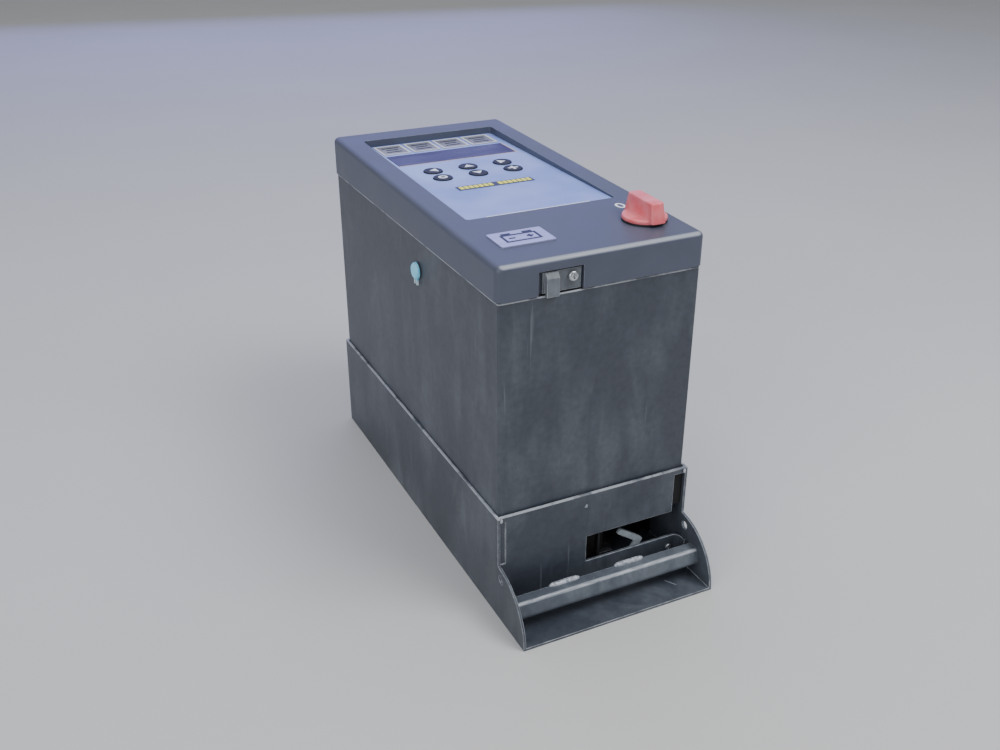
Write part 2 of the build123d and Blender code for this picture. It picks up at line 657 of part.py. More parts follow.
# --------------------------------------------------------------- the housing
def housing_shell():
    """Folded sheet box, open at the top, with an inward flange round its rim."""
    shell = block((-housing_half, housing_half), (housing_front, housing_rear), (HOUSING_BASE, HOUSING_TOP))
    shell = fillet(upright_edges(shell), HOUSING_CORNER)
    shell -= block((-inside_half, inside_half), (inside_front, inside_rear),
                   (HOUSING_BASE + HOUSING_SHEET, HOUSING_TOP - HOUSING_SHEET))
    shell -= block((-inside_half + RIM_SIDE_FLANGE, inside_half - RIM_SIDE_FLANGE),
                   (rim_flange_inner, inside_rear - RIM_END_FLANGE),
                   (HOUSING_TOP - 2 * HOUSING_SHEET, HOUSING_TOP + 1))
    shell -= cam_notch()
    shell -= fan_grille()
    for x in (-50.0, -40.0, -30.0):
        vent_length = (inside_front + 20, inside_front + 80)
        shell -= block((x, x + 4), vent_length, (HOUSING_BASE - 1, HOUSING_BASE + 3))
    shell -= rod(GROMMET_RADIUS - 1.6, (-housing_half - 1, cap_y, CAP_HEIGHT),
                 (-inside_half + 1, cap_y, CAP_HEIGHT))
    return shell


def cam_notch():
    """Cut in the front flange that the latch cam's toe swings down through."""
    return block((notch_left, notch_right), (boss_back, rim_flange_inner + 1),
                 (HOUSING_TOP - 2 * HOUSING_SHEET, HOUSING_TOP + 1))


def fan_grille():
    """Slots through the rear wall in front of the fan."""
    slots = None
    slot_pitch = 8.0
    for step in range(-4, 5):
        offset = step * slot_pitch
        half = math.sqrt((FAN_BORE_RADIUS - 2) ** 2 - offset ** 2)
        slot = block((-half, half), (inside_rear - 1, housing_rear + 1),
                     (FAN_HEIGHT + offset - 2, FAN_HEIGHT + offset + 2))
        slots = slot if slots is None else slots + slot
    return slots


def cover_seal():
    """Foam strip on the housing rim, under the cover's foot."""
    outer_x = housing_half - 0.6
    outer_y = (housing_front + 0.6, housing_rear - 0.6)
    z = (HOUSING_TOP, cover_foot - SEAL_CLEARANCE)
    ring = block((-outer_x, outer_x), outer_y, z)
    ring = fillet(upright_edges(ring), HOUSING_CORNER)
    ring -= block((-outer_x + SEAL_WIDTH, outer_x - SEAL_WIDTH),
                  (outer_y[0] + SEAL_WIDTH, outer_y[1] - SEAL_WIDTH), (z[0] - 1, z[1] + 1))
    return ring


def hinge_barrels(first):
    """Low and high x of every second knuckle, starting from the first or the next."""
    pitch = HINGE_LENGTH / HINGE_KNUCKLES
    barrels = []
    for index in range(first, HINGE_KNUCKLES, 2):
        low = -HINGE_LENGTH / 2 + index * pitch + HINGE_KNUCKLE_GAP / 2
        high = low + pitch - HINGE_KNUCKLE_GAP
        barrels.append((low, high))
    return barrels


def hinge_leaf(first, leaf_y, leaf_z, bore):
    """A leaf and its knuckles, bored for the pin."""
    leaf = block((-HINGE_LENGTH / 2, HINGE_LENGTH / 2), leaf_y, leaf_z)
    for low, high in hinge_barrels(first):
        leaf += rod(HINGE_RADIUS, (low, hinge_y, hinge_z), (high, hinge_y, hinge_z))
        web_z = (min(leaf_z[1], hinge_z), max(leaf_z[0], hinge_z))
        leaf += block((low, high), leaf_y, web_z)
    leaf -= rod(bore, (-HINGE_LENGTH, hinge_y, hinge_z), (HINGE_LENGTH, hinge_y, hinge_z))
    return leaf


def hinge_leaf_fixed():
    """Leaf on the housing's rear wall, packed out to the cover's line."""
    leaf_y = (housing_rear, cover_rear + HINGE_LEAF)
    top = hinge_z - HINGE_RADIUS - 0.5
    return hinge_leaf(0, leaf_y, (top - HINGE_LEAF_HEIGHT, top), HINGE_PIN_RADIUS)


def hinge_leaf_moving():
    """Leaf on the cover's rear wall."""
    foot = hinge_z + HINGE_RADIUS + 0.5
    return hinge_leaf(1, (cover_rear, cover_rear + HINGE_LEAF), (foot, foot + HINGE_LEAF_HEIGHT),
                      HINGE_PIN_RADIUS + HINGE_FIT)


def hinge_pin():
    """Steel pin through all the knuckles."""
    half = HINGE_LENGTH / 2
    return rod(HINGE_PIN_RADIUS, (-half, hinge_y, hinge_z), (half, hinge_y, hinge_z))


# ------------------------------------------------------------------ the cover
def cover_wedge(inset, foot, drop):
    """The cover's sloping block, taken in by a wall thickness."""
    front = cover_front + inset
    rear = cover_rear - inset
    outline = [(front, foot), (rear, foot),
               (rear, cover_top(rear) - drop), (front, cover_top(front) - drop)]
    return side_profile(outline, -cover_half + inset, cover_half - inset)


def lid_cover():
    """Moulded cover with the panel recess, the latch recess and the switch hole."""
    cover = cover_wedge(0.0, cover_foot, 0.0)
    cover = fillet(upright_edges(cover), COVER_CORNER)
    rim = cover.faces().sort_by(Axis.Z)[-1].edges()
    cover = fillet(rim, COVER_EDGE)
    outside = cover
    cover -= cover_wedge(COVER_WALL, cover_foot - 1, COVER_WALL)
    tub = block((-recess_half - 3, recess_half + 3), (recess_front - 3, recess_rear + 3),
                (recess_underside, cover_foot + 60))
    boss = block((latch_left - 3, latch_right + 3), (cover_front + 1, boss_back),
                 (cover_foot, cover_foot + LATCH_RECESS_HEIGHT + 4))
    cover += (tub & outside) + (boss & outside)
    recess = block((-recess_half, recess_half), (recess_front, recess_rear), (panel_seat, cover_foot + 60))
    cover -= fillet(upright_edges(recess), RECESS_CORNER)
    cover -= block((-display_half + 4, display_half - 4), (display_front + 3, display_rear - 3),
                   (recess_underside - 1, panel_seat + 1))
    for x, y in key_places():
        cover -= rod(KEY_RADIUS + KEY_CLEARANCE, (x, y, recess_underside - 1), (x, y, panel_seat + 1))
    cover -= block((latch_left, latch_right), (cover_front - 1, latch_floor),
                   (cover_foot - 1, cover_foot + LATCH_RECESS_HEIGHT))
    cover -= rod(SCREW_RADIUS + SHAFT_CLEARANCE, (screw_x, cover_front, screw_z),
                 (screw_x, boss_back + 1, screw_z))
    cover -= on_cover(knob_x, knob_y) * Cylinder(SHAFT_RADIUS + 1.0, 30)
    return cover


def panel_overlay():
    """Printed panel laid in the recess, open at the display and the keys."""
    half = recess_half - PANEL_GAP
    y = (recess_front + PANEL_GAP, recess_rear - PANEL_GAP)
    panel = block((-half, half), y, (panel_seat, panel_top))
    panel = fillet(upright_edges(panel), RECESS_CORNER - PANEL_GAP)
    panel -= block((-display_half - PANEL_GAP, display_half + PANEL_GAP),
                   (display_front - PANEL_GAP, display_rear + PANEL_GAP), (panel_seat - 1, panel_top + 1))
    for x, y in key_places():
        panel -= rod(KEY_RADIUS + KEY_CLEARANCE, (x, y, panel_seat - 1), (x, y, panel_top + 1))
    return panel


def display_window():
    """Dark lens over the display."""
    lens = block((-display_half, display_half), (display_front, display_rear),
                 (panel_seat, panel_top + LENS_PROUD))
    return fillet(lens.faces().sort_by(Axis.Z)[-1].edges(), 0.25)


def status_labels():
    """Four label fields between the display and the rear of the recess."""
    pitch = (2 * display_half + LABEL_GAP) / LABEL_COUNT
    rear = recess_rear - LABEL_REAR_MARGIN
    labels = []
    for index in range(LABEL_COUNT):
        left = -display_half + index * pitch
        labels.append(block((left, left + pitch - LABEL_GAP), (rear - LABEL_LENGTH, rear),
                            (panel_top, panel_top + LABEL_THICKNESS)))
    return labels


def scale_strip():
    """Narrow strip with a bar scale under the keys."""
    y = recess_rear - SCALE_REAR_MARGIN
    return block((KEYPAD_CENTRE_X - SCALE_WIDTH / 2, KEYPAD_CENTRE_X + SCALE_WIDTH / 2),
                 (y - SCALE_LENGTH / 2, y + SCALE_LENGTH / 2), (panel_top, panel_top + SCALE_THICKNESS))


def badge_plate():
    """Metal plate on the sloping top, in front of the panel."""
    x = -cover_half + BADGE_SIDE_MARGIN + BADGE_WIDTH / 2
    y = cover_front + BADGE_FRONT_MARGIN + BADGE_LENGTH / 2
    outline = RectangleRounded(BADGE_WIDTH, BADGE_LENGTH, 1.5)
    return extrude(on_cover(x, y) * outline, BADGE_THICKNESS)


def panel_key(x, y):
    """A round key with a collar under the recess floor and a stem to its switch."""
    key = rod(KEY_RADIUS, (x, y, key_flange_foot), (x, y, panel_top + KEY_PROUD))
    key = fillet(key.edges().sort_by(Axis.Z)[-1], 0.6)
    key += rod(KEY_RADIUS + KEY_FLANGE, (x, y, key_flange_foot), (x, y, key_flange_top))
    return key + rod(KEY_STEM_RADIUS, (x, y, key_stem_foot), (x, y, key_flange_foot))


def control_board():
    """Circuit board behind the panel."""
    return block((-recess_half + 4, recess_half - 4), (recess_front + 8, recess_rear - 6),
                 (control_board_under, control_board_top))


def key_switches():
    """A small push switch under each key."""
    return [block((x - 3, x + 3), (y - 3, y + 3), (control_board_top, switch_top)) for x, y in key_places()]


def display_module():
    """Display glass and its carrier on the control board."""
    carrier = block((-display_half + 2, display_half - 2), (display_front - 2, display_rear + 2),
                    (control_board_top, recess_underside - 3))
    glass = block((-display_half + 6, display_half - 6), (display_front + 4, display_rear - 4),
                  (recess_underside - 3, recess_underside + 1.5))
    return carrier + glass


def board_pillars():
    """Spacers between the control board and the underside of the recess."""
    middle = (recess_front + recess_rear) / 2 + 1
    places = rectangle_places(2 * recess_half - 18, recess_rear - recess_front - 26, y=middle)
    return [rod(3.0, (x, y, control_board_top), (x, y, recess_underside)) for x, y in places]


# ------------------------------------------------------- main switch and latch
def switch_bezel():
    """Ring on the cover under the knob."""
    ring = Cylinder(BEZEL_RADIUS, BEZEL_THICKNESS, align=(Align.CENTER, Align.CENTER, Align.MIN))
    ring -= Cylinder(SHAFT_RADIUS + 1.0, 20)
    return on_cover(knob_x, knob_y) * ring


def switch_knob():
    """Round flange with a tapered grip across it."""
    foot = BEZEL_THICKNESS + KNOB_GAP
    flange = Pos(0, 0, foot) * Cylinder(KNOB_RADIUS, KNOB_FLANGE - foot,
                                        align=(Align.CENTER, Align.CENTER, Align.MIN))
    flange = fillet(flange.edges().sort_by(Axis.Z)[-1], 1.6)
    low = Plane.XY.offset(foot + 1.0) * RectangleRounded(KNOB_GRIP_WIDTH, KNOB_GRIP_LENGTH, 2.5)
    high = Plane.XY.offset(KNOB_HEIGHT) * RectangleRounded(
        KNOB_GRIP_WIDTH - 2 * KNOB_GRIP_TAPER, KNOB_GRIP_LENGTH - 2 * KNOB_GRIP_END_TAPER, 2.5)
    grip = loft([low, high])
    grip = fillet(grip.faces().sort_by(Axis.Z)[-1].edges(), 1.2)
    knob = flange + grip
    knob -= Pos(0, 0, foot) * Cylinder(SHAFT_RADIUS, 18.0)
    return on_cover(knob_x, knob_y) * knob


def switch_shaft():
    """Shaft from the isolator up into the knob."""
    top = BEZEL_THICKNESS + KNOB_GAP + 9.0
    bottom = -COVER_WALL - 12.0
    shaft = Cylinder(SHAFT_RADIUS, top - bottom, align=(Align.CENTER, Align.CENTER, Align.MIN))
    return on_cover(knob_x, knob_y) * Pos(0, 0, bottom) * shaft


def isolator_body():
    """Rotary isolator fixed under the cover."""
    body = Box(ISOLATOR_SIZE, ISOLATOR_SIZE, ISOLATOR_DEPTH, align=(Align.CENTER, Align.CENTER, Align.MAX))
    body = fillet(upright_edges(body), 3.0)
    for side in (-1, 1):
        for step in (-1, 0, 1):
            body -= Pos(side * ISOLATOR_SIZE / 2, step * 10.0, -ISOLATOR_DEPTH + 8) * Box(8, 6.5, 12)
    body -= Cylinder(SHAFT_RADIUS + 0.3, 2 * 12.5)
    return on_cover(knob_x, knob_y) * Pos(0, 0, -COVER_WALL) * body


def latch_plate():
    """Plate in the cover's front recess, with a tail stepped out over the seam."""
    right = latch_right - LATCH_PLATE_RIGHT_GAP
    left = right - LATCH_PLATE_WIDTH
    low = cover_foot + 0.8
    high = cover_foot + LATCH_RECESS_HEIGHT - LATCH_PLATE_TOP_GAP
    plate_front = latch_floor - LATCH_PLATE_THICKNESS
    plate = block((left, right), (plate_front, latch_floor), (low, high))
    tail_back = housing_front - LATCH_TAIL_CLEARANCE
    tail_front = plate_front - LATCH_TAIL_STEP
    outline = [(latch_floor, high), (plate_front, high), (tail_front, high - LATCH_TAIL_SLOPE),
               (tail_front, cover_foot - LATCH_TAIL_DROP), (tail_back, cover_foot - LATCH_TAIL_DROP),
               (tail_back, low), (latch_floor, low)]
    tail_left = left + LATCH_TAIL_INSET
    plate += side_profile(outline, tail_left, tail_left + LATCH_TAIL_WIDTH)
    plate -= rod(SCREW_RADIUS + 0.3, (screw_x, cover_front - 10, screw_z),
                 (screw_x, latch_floor + 1, screw_z))
    return plate


def latch_screw():
    """Quarter-turn screw through the latch plate, with the cam at its back end."""
    plate_front = latch_floor - LATCH_PLATE_THICKNESS
    head_back = plate_front - 0.3
    head = pan_head(SCREW_HEAD_RADIUS, SCREW_HEAD_HEIGHT,
                    Plane(origin=(screw_x, head_back, screw_z), x_dir=(1, 0, 0), z_dir=(0, -1, 0)))
    end = cam_front + CAM_THICKNESS
    return head + rod(SCREW_RADIUS, (screw_x, head_back, screw_z), (screw_x, end, screw_z))


def latch_cam():
    """Arm on the latch screw, with a toe that turns in under the rim flange."""
    y = (cam_front, cam_front + CAM_THICKNESS)
    half = CAM_WIDTH / 2
    cam = block((screw_x, screw_x + CAM_LENGTH), y, (screw_z - half, screw_z + half))
    cam += rod(SCREW_RADIUS + 2.0, (screw_x, y[0], screw_z), (screw_x, y[1], screw_z))
    cam += block((screw_x + CAM_LENGTH - CAM_TOE, screw_x + CAM_LENGTH), (boss_back + 1.0, y[1]),
                 (screw_z - half, screw_z + half))
    return cam - rod(SCREW_RADIUS, (screw_x, y[0] - 1, screw_z), (screw_x, y[1] + 1, screw_z))


# ------------------------------------------------------------------- side cap
def side_grommet():
    """Flanged bush in the housing's left wall."""
    outer = -housing_half
    grommet = rod(GROMMET_RADIUS - 1.6, (outer - 0.5, cap_y, CAP_HEIGHT),
                  (-inside_half + 1.5, cap_y, CAP_HEIGHT))
    grommet += rod(GROMMET_RADIUS, (outer - 0.9, cap_y, CAP_HEIGHT), (outer, cap_y, CAP_HEIGHT))
    return grommet - rod(CAP_STEM_RADIUS + CAP_STEM_FIT, (outer - 2, cap_y, CAP_HEIGHT),
                         (-inside_half + 3, cap_y, CAP_HEIGHT))


def side_cap():
    """Domed plug with a two-legged pull tab, pushed into the grommet."""
    seat = -housing_half - 1.2
    cap = rod(CAP_RADIUS, (seat, cap_y, CAP_HEIGHT), (seat - CAP_DOME, cap_y, CAP_HEIGHT))
    cap = fillet(cap.edges().filter_by(GeomType.CIRCLE).sort_by(Axis.X)[0], CAP_DOME * 0.8)
    for side in (-1, 1):
        leg = cap_y + side * CAP_LEG_OFFSET
        cap += block((seat - 1.4, seat), (leg - CAP_LEG_WIDTH / 2, leg + CAP_LEG_WIDTH / 2),
                     (CAP_HEIGHT - CAP_RADIUS - CAP_TAB_LENGTH, CAP_HEIGHT - CAP_RADIUS + 1.5))
    stem_end = (seat + CAP_STEM_LENGTH, cap_y, CAP_HEIGHT)
    return cap + rod(CAP_STEM_RADIUS, (seat, cap_y, CAP_HEIGHT), stem_end)


# --------------------------------------------------------------------- inside
def chassis_plate():
    """Plate that everything inside the housing is fixed to."""
    half = inside_half - CHASSIS_MARGIN
    return block((-half, half), (inside_front + CHASSIS_MARGIN, inside_rear - CHASSIS_MARGIN),
                 (chassis_under, chassis_top))


def chassis_spacers():
    """Four spacers under the chassis plate."""
    middle = (inside_front + inside_rear) / 2
    places = rectangle_places(2 * inside_half - 30, inside_rear - inside_front - 30, y=middle)
    return [rod(4.0, (x, y, HOUSING_BASE + HOUSING_SHEET), (x, y, chassis_under)) for x, y in places]


def toroid_winding():
    """Toroidal transformer."""
    ring = rod(TOROID_RADIUS, (toroid_x, toroid_y, chassis_top),
               (toroid_x, toroid_y, chassis_top + TOROID_HEIGHT))
    ring -= rod(TOROID_HOLE_RADIUS, (toroid_x, toroid_y, chassis_top - 1),
                (toroid_x, toroid_y, chassis_top + TOROID_HEIGHT + 1))
    return fillet(ring.edges().filter_by(GeomType.CIRCLE), 7.0)


def toroid_clamp():
    """Dished washer on top of the transformer."""
    foot = chassis_top + TOROID_HEIGHT
    disc = rod(CLAMP_RADIUS, (toroid_x, toroid_y, foot), (toroid_x, toroid_y, foot + CLAMP_THICKNESS))
    return disc - rod(TOROID_BOLT_RADIUS, (toroid_x, toroid_y, foot - 1), (toroid_x, toroid_y, foot + 9))


def toroid_bolt():
    """Bolt that pulls the clamp washer down."""
    head_foot = chassis_top + TOROID_HEIGHT + CLAMP_THICKNESS
    bolt = rod(TOROID_BOLT_RADIUS, (toroid_x, toroid_y, chassis_top), (toroid_x, toroid_y, head_foot))
    hexagon = Plane(origin=(toroid_x, toroid_y, head_foot)) * RegularPolygon(6.5, 6, major_radius=False)
    return bolt + extrude(hexagon, 5.3)


def heat_sink():
    """Extruded heat sink, fins down in the fan's air, base up."""
    top = chassis_top + SINK_HEIGHT
    sink = block((-sink_half, sink_half), (sink_front, sink_rear), (top - SINK_BASE, top))
    pitch = (2 * sink_half - SINK_FIN_THICKNESS) / (SINK_FINS - 1)
    for index in range(SINK_FINS):
        left = -sink_half + index * pitch
        sink += block((left, left + SINK_FIN_THICKNESS), (sink_front, sink_rear),
                      (chassis_top, top - SINK_BASE))
    return sink


def power_modules():
    """Rectifier modules on the heat sink."""
    foot = chassis_top + SINK_HEIGHT
    width, length, height = MODULE_SIZE
    middle = (sink_front + sink_rear) / 2
    length = min(length, sink_rear - sink_front - 2)
    return [block((x - width / 2, x + width / 2), (middle - length / 2, middle + length / 2),
                  (foot, foot + height)) for x in (-sink_half / 2 - 2, sink_half / 2 + 2)]


def power_board():
    """Power circuit board over the modules, on four legs."""
    board = block((-sink_half, sink_half), (sink_front, sink_rear), (power_board_under, power_board_top))
    middle = (sink_front + sink_rear) / 2
    for x, y in rectangle_places(2 * sink_half - 8, sink_rear - sink_front - 8, y=middle):
        board += rod(3.0, (x, y, chassis_top + SINK_HEIGHT), (x, y, power_board_under))
    return board


def capacitors():
    """Smoothing capacitors on the power board."""
    middle = (sink_front + sink_rear) / 2
    cans = []
    for x in (-36.0, 0.0, 36.0):
        top = power_board_top + CAPACITOR_HEIGHT
        can = rod(CAPACITOR_RADIUS, (x, middle, power_board_top), (x, middle, top))
        cans.append(fillet(can.edges().sort_by(Axis.Z)[-1], 2.0))
    return cans


def mains_filter():
    """Screened mains filter with four tab terminals."""
    width, length, height = FILTER_SIZE
    left = -inside_half + 8
    front = inside_front + 12
    can = block((left, left + width), (front, front + length), (chassis_top, chassis_top + height))
    can = fillet(upright_edges(can), 2.0)
    for end in (front - 5, front + length):
        for x in (left + width * 0.3, left + width * 0.7):
            tag_foot = chassis_top + height * 0.6
            can += block((x - 3.2, x + 3.2), (end, end + 5), (tag_foot, tag_foot + 0.8))
    return can


def terminal_blocks():
    """A row of rail terminals by the plug cut-out."""
    right = inside_half - 10
    front = inside_front + 40
    blocks = []
    for index in range(TERMINAL_COUNT):
        high = right - index * TERMINAL_PITCH
        terminal = block((high - TERMINAL_PITCH + 0.4, high), (front, front + TERMINAL_LENGTH),
                         (chassis_top, chassis_top + TERMINAL_HEIGHT))
        for y in (front, front + TERMINAL_LENGTH):
            corner = Pos(high - TERMINAL_PITCH / 2, y, chassis_top + TERMINAL_HEIGHT) * Rot(45, 0, 0)
            terminal -= corner * Box(TERMINAL_PITCH + 1, 12, 12)
        blocks.append(terminal)
    return blocks


def earth_stud():
    """Threaded stud with two nuts on the chassis."""
    x = inside_half - 16
    y = inside_front + 20
    stud = rod(3.0, (x, y, chassis_top), (x, y, chassis_top + 22))
    for foot in (0.0, 7.0):
        hexagon = Plane(origin=(x, y, chassis_top + foot)) * RegularPolygon(5.0, 6, major_radius=False)
        stud += extrude(hexagon, 5.0)
    return stud


def fan_frame():
    """Square fan frame with a bearing hub on three struts."""
    half = FAN_SIZE / 2
    frame = block((-half, half), (fan_front, inside_rear), (FAN_HEIGHT - half, FAN_HEIGHT + half))
    frame = fillet(frame.edges().filter_by(Axis.Y), 4.0)
    frame -= rod(FAN_BORE_RADIUS, (0, fan_front - 1, FAN_HEIGHT), (0, inside_rear + 1, FAN_HEIGHT))
    hub = rod(FAN_HUB_RADIUS, (0, fan_front, FAN_HEIGHT), (0, fan_front + 4, FAN_HEIGHT))
    for turn in (90, 210, 330):
        angle = math.radians(turn)
        reach = FAN_BORE_RADIUS + 1
        strut = block((0, reach), (fan_front, fan_front + 3), (-1.5, 1.5))
        hub += Pos(0, 0, FAN_HEIGHT) * Rot(0, -math.degrees(angle), 0) * strut
    hub -= rod(FAN_SHAFT_RADIUS + 0.05, (0, fan_front - 1, FAN_HEIGHT), (0, fan_front + 9, FAN_HEIGHT))
    return frame + hub


def fan_rotor():
    """Hub, shaft and twisted blades."""
    front = fan_front + 5.0
    back = inside_rear - 2.0
    rotor = rod(FAN_HUB_RADIUS, (0, front, FAN_HEIGHT), (0, back, FAN_HEIGHT))
    rotor += rod(FAN_SHAFT_RADIUS, (0, fan_front, FAN_HEIGHT), (0, front + 1, FAN_HEIGHT))
    tip = FAN_BORE_RADIUS - FAN_TIP_CLEARANCE
    chord = 20.0
    swept = rod(tip, (0, front, FAN_HEIGHT), (0, back, FAN_HEIGHT))
    for index in range(FAN_BLADES):
        blade = Pos((tip + FAN_HUB_RADIUS) / 2, (front + back) / 2, 0) * Rot(35, 0, 0) * Box(
            tip - FAN_HUB_RADIUS + 8, chord, 1.6)
        blade = Pos(0, 0, FAN_HEIGHT) * Rot(0, index * 360 / FAN_BLADES, 0) * blade
        rotor += blade & swept
    return rotor


# --------------------------------------------------------------------- export
def all_parts():
    """Every node's name with its shape or its group of like solids."""
    parts = {
        "dock_tray": dock_tray(), "dock_apron": dock_apron(), "apron_welds": apron_welds(),
        "front_rail": front_rail(), "rail_back_strip": rail_back_strip(), "rail_welds": rail_welds(),
        "apron_screw": apron_screw(), "support_rails": support_rails(),
        "dock_socket": dock_socket(), "cable_gland": cable_gland(),
        "gland_nut": gland_nut(), "lever_bracket": lever_bracket(), "lever_pin": lever_pin(),
        "release_lever": release_lever(),
        "housing_shell": housing_shell(), "cover_seal": cover_seal(),
        "hinge_leaf_fixed": hinge_leaf_fixed(), "hinge_pin": hinge_pin(), "lock_catch": lock_catch(),
        "dock_plug": dock_plug(), "side_grommet": side_grommet(), "side_cap": side_cap(),
        "chassis_plate": chassis_plate(), "chassis_spacers": chassis_spacers(),
        "toroid_winding": toroid_winding(), "toroid_clamp": toroid_clamp(), "toroid_bolt": toroid_bolt(),
        "heat_sink": heat_sink(), "power_modules": power_modules(), "power_board": power_board(),
        "capacitors": capacitors(), "mains_filter": mains_filter(), "terminal_blocks": terminal_blocks(),
        "earth_stud": earth_stud(), "fan_frame": fan_frame(), "fan_rotor": fan_rotor(),
        "lid_cover": lid_cover(), "hinge_leaf_moving": hinge_leaf_moving(),
        "panel_overlay": panel_overlay(), "display_window": display_window(),
        "status_labels": status_labels(), "scale_strip": scale_strip(), "badge_plate": badge_plate(),
        "control_board": control_board(), "key_switches": key_switches(),
        "display_module": display_module(), "board_pillars": board_pillars(),
        "latch_plate": latch_plate(), "latch_screw": latch_screw(), "latch_cam": latch_cam(),
        "switch_bezel": switch_bezel(), "switch_knob": switch_knob(), "switch_shaft": switch_shaft(),
        "isolator_body": isolator_body(),
    }
    for number, (x, y) in enumerate(key_places(), start=1):
        parts[f"key_{number}"] = panel_key(x, y)
    return parts


os.makedirs("parts", exist_ok=True)
for name, shape in all_parts().items():
    solids = []
    for item in shape if isinstance(shape, list) else [shape]:
        solids.extend(item.solids())
    whole = solids[0] if len(solids) == 1 else Compound(children=solids)
    export_step(whole, f"parts/{name}.step")

print("hinge axis y, z:", round(hinge_y, 3), round(hinge_z, 3))
print("knob axis x, y:", round(knob_x, 3), round(knob_y, 3))
print("cover slope, degrees:", round(math.degrees(cover_slope), 4))
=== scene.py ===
"""Looks for a mains power unit in a sheet-steel dock, laid out as an add-on and run as a script.

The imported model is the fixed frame. Printed marks, weld beads and inner detail are made around
it, and every surface gets a procedural finish. Lengths are metres, and MM is one millimetre.
"""
import json
import math

import bmesh
import bpy
from mathutils import Matrix, Vector


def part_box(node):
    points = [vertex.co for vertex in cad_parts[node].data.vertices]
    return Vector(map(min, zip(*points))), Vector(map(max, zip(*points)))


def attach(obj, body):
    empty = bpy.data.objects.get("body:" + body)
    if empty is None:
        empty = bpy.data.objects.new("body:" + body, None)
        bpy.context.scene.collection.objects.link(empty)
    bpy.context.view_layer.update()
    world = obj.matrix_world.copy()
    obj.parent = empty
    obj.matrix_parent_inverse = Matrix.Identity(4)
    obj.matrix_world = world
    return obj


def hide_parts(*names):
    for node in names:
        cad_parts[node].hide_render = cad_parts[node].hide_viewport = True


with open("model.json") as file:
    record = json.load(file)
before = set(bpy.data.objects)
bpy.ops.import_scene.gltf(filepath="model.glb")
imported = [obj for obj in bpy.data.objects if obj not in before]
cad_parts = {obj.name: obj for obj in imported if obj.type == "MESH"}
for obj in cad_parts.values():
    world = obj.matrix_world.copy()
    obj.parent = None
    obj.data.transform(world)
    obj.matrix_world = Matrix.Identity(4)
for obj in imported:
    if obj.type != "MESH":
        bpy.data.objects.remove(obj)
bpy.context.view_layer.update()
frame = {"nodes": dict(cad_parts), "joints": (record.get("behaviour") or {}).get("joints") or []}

bl_info = {
    "name": "Power Unit Looks",
    "version": (1, 0, 0),
    "blender": (4, 5, 0),
    "location": "3D View > Sidebar > Power Unit",
    "description": "Marks, welds, finishes and stage for a docked mains power unit",
    "category": "Object",
}

MM = 0.001
INK = 0.12 * MM             # height of a printed mark, enough to show
KEYS = [f"key_{number}" for number in range(1, 7)]


# ------------------------------------------------------------------ settings
class FinishSettings(bpy.types.PropertyGroup):
    """Colours of the finishes."""
    coat: bpy.props.StringProperty(
        name="Coat", description="Powder coat of housing and dock, sRGB hex", default="#3b4049")
    # The worn colour is also the painted highlight along the top rims of housing and apron.
    coat_worn_and_highlight: bpy.props.StringProperty(
        name="Worn Coat and Highlight", description="Rubbed coat at the edges, sRGB hex", default="#b4b9bf")
    dust: bpy.props.StringProperty(
        name="Dust", description="Dust wiped over the coat, sRGB hex", default="#747a80")
    moulding: bpy.props.StringProperty(
        name="Cover", description="Moulded cover, sRGB hex", default="#4a4f5e")
    panel: bpy.props.StringProperty(
        name="Panel", description="Printed panel film, sRGB hex", default="#7c91d4")
    lens: bpy.props.StringProperty(
        name="Display", description="Display lens, sRGB hex", default="#1e1440")
    # The knob's red is set pale pink: the paleness is a painted reflection.
    knob: bpy.props.StringProperty(
        name="Knob", description="Main switch knob, sRGB hex", default="#ea6a70")
    # The cap's blue is set brighter than the vinyl is, a painted highlight.
    cap: bpy.props.StringProperty(
        name="Side Cap", description="Plug in the side wall, sRGB hex", default="#5bd2fb")
    badge: bpy.props.StringProperty(
        name="Badge", description="Etched badge plate, sRGB hex", default="#bdbfe6")
    scale_bars: bpy.props.StringProperty(
        name="Scale Bars", description="Bars of the printed scale, sRGB hex", default="#f4f05a")


class MarkSettings(bpy.types.PropertyGroup):
    """Sizes of the printed marks and the weld beads."""
    line: bpy.props.FloatProperty(
        name="Line", description="Width of a printed line", default=0.8 * MM, unit="LENGTH")
    sign: bpy.props.FloatProperty(
        name="Key Sign", description="Size of the sign on a key", default=9.0 * MM, unit="LENGTH")
    scale_bar_count: bpy.props.IntProperty(
        name="Scale Bars", description="Number of bars in the scale", default=15, min=2)
    weld_pitch: bpy.props.FloatProperty(
        name="Weld Pitch", description="Distance between weld ripples", default=2.1 * MM, unit="LENGTH")


class StageSettings(bpy.types.PropertyGroup):
    """Camera, floor and lights."""
    camera_place: bpy.props.FloatVectorProperty(
        name="Camera", description="Camera position", default=(-0.37142, -0.75021, 0.54876),
        subtype="TRANSLATION", unit="LENGTH")
    camera_aim: bpy.props.FloatVectorProperty(
        name="Aim", description="Direction that the camera looks in", default=(0.3879, 0.8023, -0.4537),
        subtype="DIRECTION")
    lens: bpy.props.FloatProperty(
        name="Lens", description="Focal length in millimetres on a 36 mm sensor", default=38.55)
    floor_size: bpy.props.FloatProperty(
        name="Floor", description="Side of the floor", default=12.0, unit="LENGTH")
    floor_colour: bpy.props.StringProperty(
        name="Floor Colour", description="Plain pale floor, sRGB hex", default="#c9c8c4")


# ------------------------------------------------------------- node helpers
def linear(colour):
    """Linear RGBA from an sRGB hex string."""
    parts = [int(colour[i:i + 2], 16) / 255 for i in (1, 3, 5)]
    return tuple(p / 12.92 if p <= 0.04045 else ((p + 0.055) / 1.055) ** 2.4 for p in parts) + (1.0,)


def per(size):
    """Texture scale for a pattern of the given size in millimetres."""
    return 1.0 / (size * MM)


